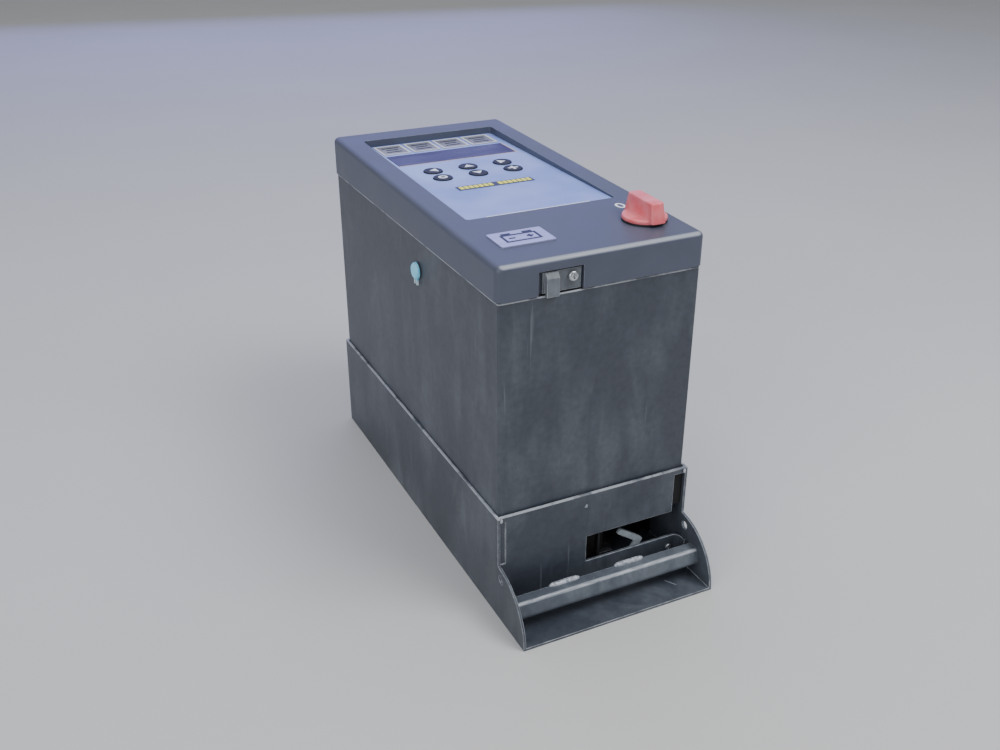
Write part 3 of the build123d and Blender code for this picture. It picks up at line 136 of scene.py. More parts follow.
def add(tree, kind, sockets=None, out=None, **settings):
    """Adds a node, applies its settings, and fills or links its sockets. Returns one output or the node."""
    made = tree.nodes.new(kind)
    for name, value in settings.items():
        setattr(made, name, value)
    for key, value in (sockets or {}).items():
        if isinstance(value, bpy.types.NodeSocket):
            tree.links.new(value, made.inputs[key])
        elif value is not None:
            made.inputs[key].default_value = value
    return made if out is None else made.outputs[out]


def noise(tree, place, size, detail, **more):
    """Cloudy noise with patches of the given size in millimetres."""
    sockets = {"Vector": place, "Scale": per(size), "Detail": detail, **more}
    return add(tree, "ShaderNodeTexNoise", sockets, out="Fac")


def spread(tree, value, low, high, to_low=0.0, to_high=1.0):
    """Maps the range from low to high onto another range, and holds it at both ends."""
    sockets = {"Value": value, "From Min": low, "From Max": high, "To Min": to_low, "To Max": to_high}
    return add(tree, "ShaderNodeMapRange", sockets, out="Result")


def combine(tree, operation, first, second=None, **settings):
    """One arithmetic step on one or two values."""
    return add(tree, "ShaderNodeMath", {0: first, 1: second}, out="Value", operation=operation, **settings)


def mix(tree, share, first, second):
    """A share of the second colour laid over the first, each a hex string or a socket."""
    first, second = (linear(item) if isinstance(item, str) else item for item in (first, second))
    return add(tree, "ShaderNodeMix", {0: share, 6: first, 7: second}, out=2, data_type="RGBA")


def toned(tree, colour, tone):
    """A colour, a hex string or a socket, made lighter or darker by a tone."""
    base = linear(colour)[:3] if isinstance(colour, str) else colour
    return add(tree, "ShaderNodeVectorMath", {0: base, "Scale": tone}, out="Vector", operation="SCALE")


def bumped(tree, height, strength, depth, under=None):
    """Normal raised by a height, to a depth in millimetres, over the normal under it."""
    sockets = {"Height": height, "Strength": strength, "Distance": depth * MM, "Normal": under}
    return add(tree, "ShaderNodeBump", sockets, out="Normal")


def stretched(tree, place, scale, turn=(0.0, 0.0, 0.0)):
    """Coordinates turned and scaled, which draws a pattern out into streaks."""
    return add(tree, "ShaderNodeMapping", {"Vector": place, "Rotation": turn, "Scale": scale}, out="Vector")


def height_of(tree, place):
    """Height of each point above the table."""
    return add(tree, "ShaderNodeSeparateXYZ", {"Vector": place}, out="Z")


def facing(tree, direction, low, high):
    """Mask of the surfaces that face a direction, from the shading normal."""
    normal = add(tree, "ShaderNodeNewGeometry", out="Normal")
    aimed = add(tree, "ShaderNodeVectorMath", {
        0: normal, 1: Vector(direction).normalized()}, out="Value", operation="DOT_PRODUCT")
    return spread(tree, aimed, low, high)


def worn_edges(tree, place, radius, patch):
    """Rounded shading normal at sharp edges, and a patchy mask of where they are rubbed."""
    rounded = add(tree, "ShaderNodeBevel", {"Radius": radius * MM}, out="Normal", samples=6)
    flat = add(tree, "ShaderNodeNewGeometry", out="Normal")
    bend = add(tree, "ShaderNodeVectorMath", {0: rounded, 1: flat}, out="Value", operation="DOT_PRODUCT")
    edge = spread(tree, bend, 0.99, 0.90)
    holes = spread(tree, noise(tree, place, patch, 5.0), 0.30, 0.60, 0.15)
    return rounded, combine(tree, "MULTIPLY", edge, holes, use_clamp=True)


def start_material(name):
    """An empty material, its node tree and its object coordinates."""
    made = bpy.data.materials.new(name)
    made.use_nodes = True
    tree = made.node_tree
    tree.nodes.clear()
    return made, tree, add(tree, "ShaderNodeTexCoord", out="Object")


def finish_material(made, colour, rough, normal, more):
    """Closes a material with one principled shader."""
    sockets = {"Base Color": colour, "Roughness": rough, "Normal": normal, **more}
    shader = add(made.node_tree, "ShaderNodeBsdfPrincipled", sockets, out="BSDF")
    add(made.node_tree, "ShaderNodeOutputMaterial", {"Surface": shader})
    return made


# ----------------------------------------------------------------- materials
def powder_coat(name, colour, worn, dust, smear=0.5, rub=0.8, edge_radius=0.8, rim=None, nose=0.0):
    """Polyester powder coat on folded steel: baked, faintly pebbled, half matt. Hands and rags
    leave soft upright smears of dust on it, and the edges are rubbed to a pale grey. A painted
    highlight in the pale grey, broken into patches, lies along the top millimetre below the rim
    height given. Rounded edges that face up and forward get the pale grey as rubbed coat and as a
    painted highlight."""
    made, tree, place = start_material(name)
    rounded, edge = worn_edges(tree, place, edge_radius, 7.0)
    upright = stretched(tree, place, (1.0, 1.0, 0.28))
    streaks = noise(tree, upright, 34, 6.0, Roughness=0.62, Distortion=0.7)
    wiped = combine(tree, "MULTIPLY", streaks, noise(tree, place, 85, 3.0))
    smears = spread(tree, wiped, 0.20, 0.40, 0.0, smear)
    mottle = spread(tree, noise(tree, place, 5, 4.0), 0.3, 0.7, 0.88, 1.12)
    shaded = toned(tree, mix(tree, smears, colour, dust), mottle)
    rubbed = combine(tree, "MULTIPLY", edge, rub)
    # Painted highlight: pale grey in patches along the top millimetre below the rim height, where light
    # catches the top edge.
    if rim is not None:
        band = spread(tree, height_of(tree, place), rim - 1.3 * MM, rim - 0.9 * MM, 0.0, 0.9)
        gaps = spread(tree, noise(tree, place, 14, 3.0), 0.36, 0.50, 0.25)
        rubbed = combine(tree, "MAXIMUM", rubbed, combine(tree, "MULTIPLY", band, gaps))
    # Rounded edges facing up and forward: partly rubbed coat, partly a painted highlight.
    if nose:
        wipes = noise(tree, stretched(tree, place, (0.12, 1.0, 1.0)), 1.6, 5.0)
        share = spread(tree, wipes, 0.35, 0.60, 0.3 * nose, nose)
        front_edge_rub_and_highlight = combine(tree, "MULTIPLY", facing(tree, (0, -0.55, 0.83), 0.90, 1.0), share)
        rubbed = combine(tree, "MAXIMUM", rubbed, front_edge_rub_and_highlight)
    aslant = stretched(tree, place, (1.0, 1.0, 0.04), (0.5, 0.9, 0.3))
    scratches = spread(tree, noise(tree, aslant, 3.2, 2.0), 0.70, 0.78, 0.0, 0.35 * smear)
    # The pale grey mask: rubbed edges and scratches, with the painted highlights above.
    bare_and_highlit = combine(tree, "MAXIMUM", rubbed, scratches)
    rough = spread(tree, wiped, 0.0, 1.0, 0.40, 0.66)
    waves = bumped(tree, noise(tree, place, 60, 1.0), 0.25, 1.2, rounded)
    # The coat's real pebble is about 0.3 mm across; it is drawn at 1.5 mm so that it shows.
    pebble = bumped(tree, noise(tree, place, 1.5, 3.0), 0.18, 0.12, waves)
    return finish_material(made, mix(tree, bare_and_highlit, shaded, worn), rough, pebble, {"IOR": 1.5})


def grained_moulding(name, colour, pale, grain=1.1, rough=(0.36, 0.52), edge=0.35, nose=0.0):
    """Plastic injection moulded in a spark-eroded tool: an even fine grain, a satin sheen, and edges
    rubbed paler by handling. Rounded edges that face up and forward get a painted highlight in the
    pale colour, as strong as nose."""
    made, tree, place = start_material(name)
    rounded, rubbed = worn_edges(tree, place, 0.6, 5.0)
    clouds = noise(tree, place, 48, 4.0)
    base = toned(tree, colour, spread(tree, clouds, 0.3, 0.7, 0.86, 1.16))
    worn = combine(tree, "MULTIPLY", rubbed, edge)
    # Painted highlight: the pale colour on rounded edges that face up and forward, as if a light above and
    # in front were mirrored there.
    if nose:
        front_edge_rub_and_highlight = combine(tree, "MULTIPLY", facing(tree, (0, -0.6, 0.8), 0.86, 0.99), nose)
        worn = combine(tree, "MAXIMUM", worn, front_edge_rub_and_highlight)
    gloss = spread(tree, clouds, 0.3, 0.7, *rough)
    grit = bumped(tree, noise(tree, place, grain, 4.0), 0.22, 0.10, rounded)
    return finish_material(made, mix(tree, worn, base, pale), gloss, grit, {"IOR": 1.53})


def printed_film(name, colour, pale):
    """Back-printed polyester film: even colour, a fine velvet texture, slight bowing of the sheet."""
    made, tree, place = start_material(name)
    clouds = noise(tree, place, 70, 3.0)
    base = mix(tree, spread(tree, clouds, 0.35, 0.65), colour, pale)
    specks = add(tree, "ShaderNodeTexVoronoi", {"Vector": place, "Scale": per(9)}, out="Distance")
    dusty = mix(tree, spread(tree, specks, 0.05, 0.02, 0.0, 0.5), base, "#d8dcea")
    rough = spread(tree, clouds, 0.0, 1.0, 0.28, 0.46)
    bow = bumped(tree, clouds, 0.3, 0.5)
    velvet = bumped(tree, noise(tree, place, 1.3, 2.0), 0.12, 0.05, bow)
    return finish_material(made, dusty, rough, velvet, {"IOR": 1.58})


def tinted_lens(name, colour):
    """Acrylic lens, cast and tinted dark: glossy, with wipe marks that dull it in patches."""
    made, tree, place = start_material(name)
    wipes = noise(tree, stretched(tree, place, (0.35, 1.0, 1.0)), 12, 4.0, Distortion=0.4)
    tint = toned(tree, colour, spread(tree, wipes, 0.3, 0.7, 0.85, 1.25))
    rough = spread(tree, wipes, 0.3, 0.7, 0.22, 0.40)
    return finish_material(made, tint, rough, bumped(tree, wipes, 0.15, 0.3), {"IOR": 1.49})


def printing_ink(name, colour, fade=0.25):
    """Screen-printing ink: a thin even layer, slightly chalky, with small worn spots."""
    made, tree, place = start_material(name)
    spots = noise(tree, place, 1.6, 3.0)
    faded = mix(tree, spread(tree, spots, 0.45, 0.75, 0.0, fade), colour, "#777b86")
    rough = spread(tree, spots, 0.0, 1.0, 0.45, 0.67)
    return finish_material(made, faded, rough, bumped(tree, spots, 0.2, 0.03), {"IOR": 1.5})


def plated_steel(name, colour, dull, spangle=6.0, rough=(0.30, 0.55), metal=0.9):
    """Zinc-plated or galvanised steel: grey crystal spangle, dulled by a white bloom."""
    made, tree, place = start_material(name)
    rounded, rubbed = worn_edges(tree, place, 0.4, 3.0)
    crystals = add(tree, "ShaderNodeTexVoronoi", {"Vector": place, "Scale": per(spangle)}, out="Color")
    facet = add(tree, "ShaderNodeSeparateColor", {"Color": crystals}, out="Red")
    bloom = noise(tree, place, 7, 6.0)
    dulled = combine(tree, "MULTIPLY", facet, bloom)
    plated = mix(tree, rubbed, mix(tree, dulled, colour, dull), "#d3d6d8")
    gloss = spread(tree, dulled, 0.0, 1.0, *rough)
    return finish_material(made, plated, gloss, bumped(tree, bloom, 0.2, 0.08, rounded), {"Metallic": metal})


def weld_metal(name):
    """Arc-welded bead, wire-brushed: pale rippled steel with coat left in the valleys."""
    made, tree, place = start_material(name)
    blotch = noise(tree, place, 2.6, 6.0)
    steel = mix(tree, spread(tree, blotch, 0.40, 0.60), "#8e9299", "#c9cdd4")
    rough = spread(tree, blotch, 0.0, 1.0, 0.42, 0.70)
    return finish_material(made, steel, rough, bumped(tree, blotch, 0.5, 0.2), {"Metallic": 0.35})


def knob_moulding(name, colour):
    """Red polyamide, injection moulded: a satin surface, its red paled towards pink as a painted reflection,
    paler still in patches and at the edges.
    """
    made, tree, place = start_material(name)
    rounded, rubbed = worn_edges(tree, place, 1.0, 4.0)
    clouds = noise(tree, place, 11, 4.0)
    base = mix(tree, spread(tree, clouds, 0.35, 0.65), colour, "#f08a8f")
    paler_edges = mix(tree, combine(tree, "MULTIPLY", rubbed, 0.5), base, "#fbd0d6")
    rough = spread(tree, clouds, 0.0, 1.0, 0.30, 0.46)
    grit = bumped(tree, noise(tree, place, 0.9, 3.0), 0.15, 0.06, rounded)
    return finish_material(made, paler_edges, rough, grit, {
        "IOR": 1.53, "Subsurface Weight": 0.08, "Subsurface Radius": (0.9, 0.3, 0.2),
        "Subsurface Scale": 1.0 * MM})


def vinyl_cap(name, colour, foot):
    """Dip-moulded blue vinyl: soft gloss, and the thin pull legs stretched paler below the foot height."""
    made, tree, place = start_material(name)
    legs = spread(tree, height_of(tree, place), foot, foot - 2 * MM)
    clouds = noise(tree, place, 4, 4.0)
    vinyl = mix(tree, legs, mix(tree, clouds, colour, "#a6e6fb"), "#d5e6ee")
    rough = spread(tree, clouds, 0.0, 1.0, 0.26, 0.44)
    return finish_material(made, vinyl, rough, bumped(tree, clouds, 0.2, 0.15), {"IOR": 1.54})


def brushed_plate(name, colour):
    """Anodised aluminium, brushed or drawn one way: long fine lines along its width."""
    made, tree, place = start_material(name)
    lines = noise(tree, stretched(tree, place, (0.03, 1.0, 1.0)), 0.8, 3.0)
    anodised = toned(tree, colour, spread(tree, lines, 0.3, 0.7, 0.85, 1.12))
    rough = spread(tree, lines, 0.0, 1.0, 0.35, 0.55)
    return finish_material(made, anodised, rough, bumped(tree, lines, 0.2, 0.04), {"Metallic": 0.6})


def wound_tape(name):
    """Polyester tape lapped over copper: amber, glossy and a little blotchy."""
    made, tree, place = start_material(name)
    blotch = noise(tree, place, 9, 5.0)
    amber = mix(tree, blotch, "#a8741c", "#e0b04a")
    rough = spread(tree, blotch, 0.0, 1.0, 0.22, 0.42)
    return finish_material(made, amber, rough, bumped(tree, blotch, 0.3, 0.2), {"IOR": 1.6})


def circuit_board(name):
    """Glass-epoxy board under dark green solder mask: fine copper tracks show a little lighter."""
    made, tree, place = start_material(name)
    cells = add(tree, "ShaderNodeTexVoronoi", {
        "Vector": place, "Scale": per(3.5)}, out="Distance", distance="CHEBYCHEV", feature="F1")
    tracks = combine(tree, "FRACT", combine(tree, "MULTIPLY", cells, 5.0))
    copper = spread(tree, tracks, 0.55, 0.65)
    mask = mix(tree, copper, "#0d3322", "#15452f")
    rough = spread(tree, tracks, 0.0, 1.0, 0.30, 0.42)
    return finish_material(made, mask, rough, bumped(tree, copper, 0.4, 0.05), {"IOR": 1.55})


def pale_floor(name, colour):
    """Smooth trowelled floor: pale, matt, with very soft clouding."""
    made, tree, place = start_material(name)
    clouds = spread(tree, noise(tree, place, 1000 / 3, 4.0), 0.0, 1.0, 0.95, 1.05)
    return finish_material(made, toned(tree, colour, clouds), 0.85, None, {"IOR": 1.45})


# ------------------------------------------------------------- shape helpers
def joint(name):
    """A joint of the frame by its name."""
    return next(j for j in frame["joints"] if j["name"] == name)


def cover_plane():
    """Turns plan coordinates into places on the cover's sloping top."""
    turn = joint("switch_turn")
    normal = -Vector(turn["axis"]).normalized()
    across = Vector((1, 0, 0))
    along = normal.cross(across)
    rotation = Matrix((across, along, normal)).transposed().to_4x4()
    return Matrix.Translation(Vector(turn["pos_m"])) @ rotation


def on_cover(x, y, lift):
    """Matrix that puts a flat shape at a plan place on the cover's top, lifted by a height."""
    plane = cover_plane()
    normal = plane.to_3x3() @ Vector((0, 0, 1))
    foot = plane.translation
    z = foot.z - (normal.x * (x - foot.x) + normal.y * (y - foot.y)) / normal.z
    return Matrix.Translation(Vector((x, y, z)) + normal * lift) @ plane.to_3x3().to_4x4()


def solid_boxes(node):
    """Low and high corners of each separate solid of a CAD node, from left to right."""
    copy = bmesh.new()
    copy.from_mesh(frame["nodes"][node].data)
    bmesh.ops.remove_doubles(copy, verts=copy.verts, dist=0.001 * MM)
    left = set(copy.verts)
    boxes = []
    while left:
        queue = [left.pop()]
        found = []
        while queue:
            vert = queue.pop()
            found.append(vert.co.copy())
            for edge in vert.link_edges:
                other = edge.other_vert(vert)
                if other in left:
                    left.remove(other)
                    queue.append(other)
        low = Vector(min(p[i] for p in found) for i in range(3))
        high = Vector(max(p[i] for p in found) for i in range(3))
        boxes.append((low, high))
    copy.free()
    return sorted(boxes, key=lambda pair: (round(pair[0].x, 4), pair[0].y))


def slab(shape, points, foot=0.0):
    """A flat mark, one layer of ink high, with the given outline of (x, y) points."""
    verts = [shape.verts.new((x, y, foot)) for x, y in points]
    face = shape.faces.new(verts)
    if face.normal.z < 0:
        face.normal_flip()
    raised = bmesh.ops.extrude_face_region(shape, geom=[face], use_keep_orig=True)
    moved = [item for item in raised["geom"] if isinstance(item, bmesh.types.BMVert)]
    bmesh.ops.translate(shape, vec=(0, 0, INK), verts=moved)
    return verts + moved


def bar(shape, low, high, foot=0.0):
    """A rectangular mark between two plan corners."""
    return slab(shape, [(low[0], low[1]), (high[0], low[1]), (high[0], high[1]), (low[0], high[1])], foot)


def ring(shape, low, high, width, foot=0.0):
    """A rectangular frame of four bars."""
    bar(shape, low, (high[0], low[1] + width), foot)
    bar(shape, (low[0], high[1] - width), high, foot)
    bar(shape, (low[0], low[1] + width), (low[0] + width, high[1] - width), foot)
    bar(shape, (high[0] - width, low[1] + width), (high[0], high[1] - width), foot)


def oval_ring(shape, radius_x, radius_y, width):
    """An oval ring about the origin, one layer of ink high."""
    steps = 40
    loops = []
    for inset, z in ((0, 0), (0, INK), (width, INK), (width, 0)):
        loop = []
        for step in range(steps):
            angle = 2 * math.pi * step / steps
            point = ((radius_x - inset) * math.cos(angle), (radius_y - inset) * math.sin(angle), z)
            loop.append(shape.verts.new(point))
        loops.append(loop)
    for index, loop in enumerate(loops):
        other = loops[(index + 1) % len(loops)]
        for step in range(steps):
            after = (step + 1) % steps
            shape.faces.new((loop[step], loop[after], other[after], other[step]))


def make_piece(name, shape, material, body, replaces=(), smooth=False):
    """Turns a bmesh into an object with one material that rides on a body."""
    bmesh.ops.recalc_face_normals(shape, faces=shape.faces)
    mesh = bpy.data.meshes.new(name)
    shape.to_mesh(mesh)
    shape.free()
    mesh.materials.append(material)
    for face in mesh.polygons:
        face.use_smooth = smooth
    piece = bpy.data.objects.new(name, mesh)
    bpy.context.scene.collection.objects.link(piece)
    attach(piece, body)
    if replaces:
        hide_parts(*replaces)
    return piece


def dress(material, *nodes):
    """Gives CAD nodes a finish."""
    for name in nodes:
        data = frame["nodes"][name].data
        data.materials.clear()
        data.materials.append(material)


def finishes():
    """The scene's colour settings."""
    return bpy.context.scene.unit_finishes


def marks():
    """The scene's mark sizes."""
    return bpy.context.scene.unit_marks


# ----------------------------------------------------------------- operators
class UNIT_OT_sheet_metal(bpy.types.Operator):
    """Powder-coat the housing, the dock, the rail and the hinge leaves"""
    bl_idname = "unit.sheet_metal"
    bl_label = "Sheet Metal"

    def execute(self, context):
        look = finishes()
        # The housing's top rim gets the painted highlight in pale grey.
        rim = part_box("housing_shell")[1].z
        coat = powder_coat("powder_coat_housing", look.coat, look.coat_worn_and_highlight, look.dust, 0.36, 0.6, rim=rim)
        dress(coat, "housing_shell")
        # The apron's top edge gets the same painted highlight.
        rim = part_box("dock_apron")[1].z
        dock = powder_coat("powder_coat_dock", look.coat, look.coat_worn_and_highlight, look.dust, 0.42, 0.95, 1.2, rim)
        dress(dock, "dock_tray", "dock_apron")
        # The rail's rounded front edge gets the pale grey as rubbed coat and as a painted highlight.
        rail = powder_coat("powder_coat_rail", "#4e545d", "#c3c8ce", look.dust, 0.75, 0.9, 1.0, nose=0.85)
        dress(rail, "front_rail", "rail_back_strip")
        # Painted light: this coat is set lighter than the housing's so that the latch plate, deep in its
        # recess, does not read black in the shade; the hinge leaves share it.
        black = powder_coat("rubbed_coated_steel", "#474c52", "#b4b9be", "#82888d", 1.0, 1.0, 0.9)
        dress(black, "latch_plate", "hinge_leaf_fixed", "hinge_leaf_moving")
        hidden = powder_coat("black_coat_brackets", "#141518", "#3b3d41", "#2a2b2e", 0.5, 0.5)
        dress(hidden, "support_rails", "lock_catch")
        return {"FINISHED"}


class UNIT_OT_plated_parts(bpy.types.Operator):
    """Finish the plated lever, brackets, screws and pins, the brass stud and the heat sink"""
    bl_idname = "unit.plated_parts"
    bl_label = "Plated Parts"

    def execute(self, context):
        galvanised = plated_steel("galvanised_sheet", "#b9bcbb", "#8f9391")
        chalky = plated_steel("chalky_zinc_lever", "#b3bcc2", "#8f989f", 2.0, (0.5, 0.8), metal=0.3)
        dress(chalky, "release_lever")
        dress(galvanised, "lever_bracket", "chassis_plate", "chassis_spacers",
              "toroid_clamp", "toroid_bolt", "board_pillars", "mains_filter")
        screw = plated_steel("zinc_plated_screw", "#c6c9cc", "#8b8f94", spangle=1.5, rough=(0.22, 0.40))
        dress(screw, "latch_screw", "latch_cam", "apron_screw", "lever_pin", "hinge_pin")
        brass = plated_steel("turned_brass", "#c79a3c", "#8d6a22", spangle=2.0)
        dress(brass, "earth_stud")
        sink = brushed_plate("extruded_aluminium", "#b9bcc0")
        dress(sink, "heat_sink")
        return {"FINISHED"}


class UNIT_OT_mouldings(bpy.types.Operator):
    """Finish the cover, knob, keys, cap, seals and the black mouldings"""
    bl_idname = "unit.mouldings"
    bl_label = "Mouldings"

    def execute(self, context):
        look = finishes()
        # The cover's rounded front edge gets the pale colour as a painted highlight.
        cover = grained_moulding("abs_cover_grained", look.moulding, "#aeb4bd", edge=0.6, nose=0.65)
        dress(cover, "lid_cover")
        black = grained_moulding("black_nylon", "#17181b", "#55585e", rough=(0.40, 0.58))
        dusty = grained_moulding("dusty_socket_moulding", "#5a5652", "#8a8580", rough=(0.6, 0.8))
        dress(dusty, "dock_socket")
        dress(black, "cable_gland", "gland_nut", "dock_plug", "side_grommet", "switch_bezel",
              "switch_shaft", "isolator_body", "fan_frame", "fan_rotor", "key_switches", "power_modules")
        dress(grained_moulding("grey_terminal_moulding", "#6b6c68", "#9a9b97"), "terminal_blocks")
        foam = grained_moulding("foam_seal", "#101113", "#2a2b2d", grain=0.8, rough=(0.75, 0.92))
        dress(foam, "cover_seal")
        dress(grained_moulding("silicone_key", "#0e1120", "#39405e", rough=(0.5, 0.65)), *KEYS)
        dress(grained_moulding("blue_shrink_sleeve", "#1a2444", "#5b6688", rough=(0.2, 0.34)), "capacitors")
        # The knob's colour carries a painted reflection that pales its red to pink.
        dress(knob_moulding("red_polyamide_knob", look.knob), "switch_knob")
        # The cap's bright blue carries a painted highlight.
        low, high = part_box("side_cap")
        foot = high.z - (high.y - low.y)
        dress(vinyl_cap("blue_vinyl_cap", look.cap, foot), "side_cap")
        return {"FINISHED"}


class UNIT_OT_panel_face(bpy.types.Operator):
    """Finish film, lens and boards, paint a highlight line along the film's front edge, and print the lens's
    frame
    """
    bl_idname = "unit.panel_face"
    bl_label = "Panel Face"

    def execute(self, context):
        look = finishes()
        dress(printed_film("polyester_panel_film", look.panel, "#9db0ec"), "panel_overlay")
        dress(tinted_lens("tinted_acrylic_lens", look.lens), "display_window", "display_module")
        dress(circuit_board("glass_epoxy_board"), "power_board", "control_board")
        width = marks().line
        low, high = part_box("panel_overlay")
        # Painted highlight: a near-white line just inside the film's front edge, where the edge of the
        # recess catches the light.
        edge = bmesh.new()
        span = high.x - low.x
        near = low.y + 2.6 * MM
        bar(edge, (low.x + 0.14 * span, near), (high.x - 0.16 * span, near + 2.6 * width), high.z)
        make_piece("panel_edge_highlight_line", edge, printing_ink("painted_edge_highlight_ink", "#f4f7ff", fade=0.05), "cover")
        low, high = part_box("display_window")
        frame_line = bmesh.new()
        out = 1.6 * width
        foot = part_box("panel_overlay")[1].z
        bar(frame_line, (low.x - out, low.y - out), (high.x + out, low.y - 0.2 * width), foot)
        bar(frame_line, (high.x + 0.2 * width, low.y), (high.x + out, high.y), foot)
        make_piece("display_frame_line", frame_line, printing_ink("rose_frame_ink", "#c9b2b6"), "cover")
        return {"FINISHED"}


class UNIT_OT_label_fields(bpy.types.Operator):
    """Frame each label field and fill it with plain dashes"""
    bl_idname = "unit.label_fields"
    bl_label = "Label Fields"

    def execute(self, context):
        dress(printed_film("grey_label_film", "#70727c", "#8b8c94"), "status_labels")
        width = marks().line
        frames = bmesh.new()
        dashes = bmesh.new()
        for low, high in solid_boxes("status_labels"):
            ring(frames, (low.x, low.y), (high.x, high.y), 2.2 * width, high.z)
            span = high.x - low.x
            for row, share in enumerate((0.62, 0.44, 0.56)):
                y = high.y - (row + 1.3) * (high.y - low.y) / 4.6
                middle = (low.x + high.x) / 2
                reach = span * share / 2
                bar(dashes, (middle - reach, y - 1.4 * width), (middle + reach, y + 1.4 * width), high.z)
        pale = printing_ink("pale_frame_ink", "#d3d4d8", fade=0.1)
        dark = printing_ink("dark_label_ink", "#1b1c24", fade=0.1)
        make_piece("label_frames", frames, pale, "cover")
        make_piece("label_dashes", dashes, dark, "cover")
        return {"FINISHED"}


class UNIT_OT_key_signs(bpy.types.Operator):
    """Print a plain sign on each key"""
    bl_idname = "unit.key_signs"
    bl_label = "Key Signs"

    def execute(self, context):
        ink = printing_ink("white_key_ink", "#e6ebf8", fade=0.15)
        size = marks().sign
        for index, name in enumerate(KEYS):
            low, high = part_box(name)
            shape = bmesh.new()
            self.draw_sign(shape, index, size)
            middle = (low + high) / 2
            bmesh.ops.translate(shape, vec=(middle.x, middle.y, high.z), verts=shape.verts)
            make_piece(f"{name}_sign", shape, ink, name)
        return {"FINISHED"}

    def draw_sign(self, shape, index, size):
        """Arrows left, up and right, then a ring, an arrow down and a plus, about the origin."""
        half = size / 2
        stroke = size * 0.26
        upward = [(-half, -half * 0.7), (half, -half * 0.7), (0, half * 0.8)]
        leftward = [(half * 0.8, -half), (half * 0.8, half), (-half * 0.7, 0)]
        if index == 0:
            slab(shape, leftward)
        elif index == 1:
            slab(shape, upward)
        elif index == 2:
            slab(shape, [(-x, -y) for x, y in leftward])
        elif index == 3:
            oval_ring(shape, half * 0.9, half * 0.9, stroke * 0.9)
        elif index == 4:
            slab(shape, [(x, -y) for x, y in upward])
        else:
            bar(shape, (-half, -stroke / 2), (half, stroke / 2))
            bar(shape, (-stroke / 2, stroke / 2), (stroke / 2, half))
            bar(shape, (-stroke / 2, -half), (stroke / 2, -stroke / 2))


class UNIT_OT_scale_bars(bpy.types.Operator):
    """Lay the row of yellow bars on the dark scale strip"""
    bl_idname = "unit.scale_bars"
    bl_label = "Scale Bars"

    def execute(self, context):
        dress(printed_film("dark_scale_film", "#0c0c12", "#15151c"), "scale_strip")
        low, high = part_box("scale_strip")
        count = marks().scale_bar_count
        margin = 1.8 * marks().line
        pitch = (high.x - low.x - 2 * margin) / count
        shape = bmesh.new()
        for index in range(count):
            left = low.x + margin + index * pitch
            foot = low.y + margin
            if index != count // 2:
                bar(shape, (left + pitch * 0.12, foot), (left + pitch * 0.88, high.y - margin), high.z)
        ink = printing_ink("yellow_scale_ink", finishes().scale_bars, fade=0.05)
        make_piece("scale_bars", shape, ink, "cover")
        return {"FINISHED"}


class UNIT_OT_badge_face(bpy.types.Operator):
    """Etch a plain battery outline with a plus and a minus on the badge"""
    bl_idname = "unit.badge_face"
    bl_label = "Badge Face"

    def execute(self, context):
        look = finishes()
        dress(brushed_plate("brushed_badge", look.badge), "badge_plate")
        low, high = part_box("badge_plate")
        plane = cover_plane()
        normal = plane.to_3x3() @ Vector((0, 0, 1))
        corners = frame["nodes"]["badge_plate"].data.vertices
        lift = max((corner.co - plane.translation).dot(normal) for corner in corners)
        width = 2.4 * marks().line
        half_x = (high.x - low.x) * 0.33
        half_y = (high.y - low.y) * 0.26
        shape = bmesh.new()
        ring(shape, (-half_x, -half_y), (half_x, half_y), width)
        for side in (-1, 1):
            post = side * half_x * 0.6
            bar(shape, (post - 2 * width, half_y), (post + 2 * width, half_y + 1.5 * width))
            sign = side * half_x * 0.5
            bar(shape, (sign - 1.3 * width, -width / 2), (sign + 1.3 * width, width / 2))
        plus = half_x * 0.5
        bar(shape, (plus - width / 2, width / 2), (plus + width / 2, 1.3 * width))
        bar(shape, (plus - width / 2, -1.3 * width), (plus + width / 2, -width / 2))
        place = on_cover((low.x + high.x) / 2, (low.y + high.y) / 2, lift)
        bmesh.ops.transform(shape, matrix=place, verts=shape.verts)
        ink = printing_ink("etched_badge_ink", "#26284a", fade=0.1)
        make_piece("badge_battery_sign", shape, ink, "cover")
        return {"FINISHED"}


class UNIT_OT_switch_legend(bpy.types.Operator):
    """Print the off mark behind the main switch"""
    bl_idname = "unit.switch_legend"
    bl_label = "Switch Legend"

    def execute(self, context):
        centre = Vector(joint("switch_turn")["pos_m"])
        low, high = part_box("switch_knob")
        reach = (high.y - low.y) / 2 + 14 * MM
        size = marks().sign
        shape = bmesh.new()
        oval_ring(shape, size * 0.42, size * 0.62, size * 0.2)
        bmesh.ops.transform(shape, matrix=on_cover(centre.x, centre.y + reach, 0), verts=shape.verts)
        ink = printing_ink("white_legend_ink", "#eef1f8", fade=0.1)
        make_piece("switch_off_mark", shape, ink, "cover")
        return {"FINISHED"}


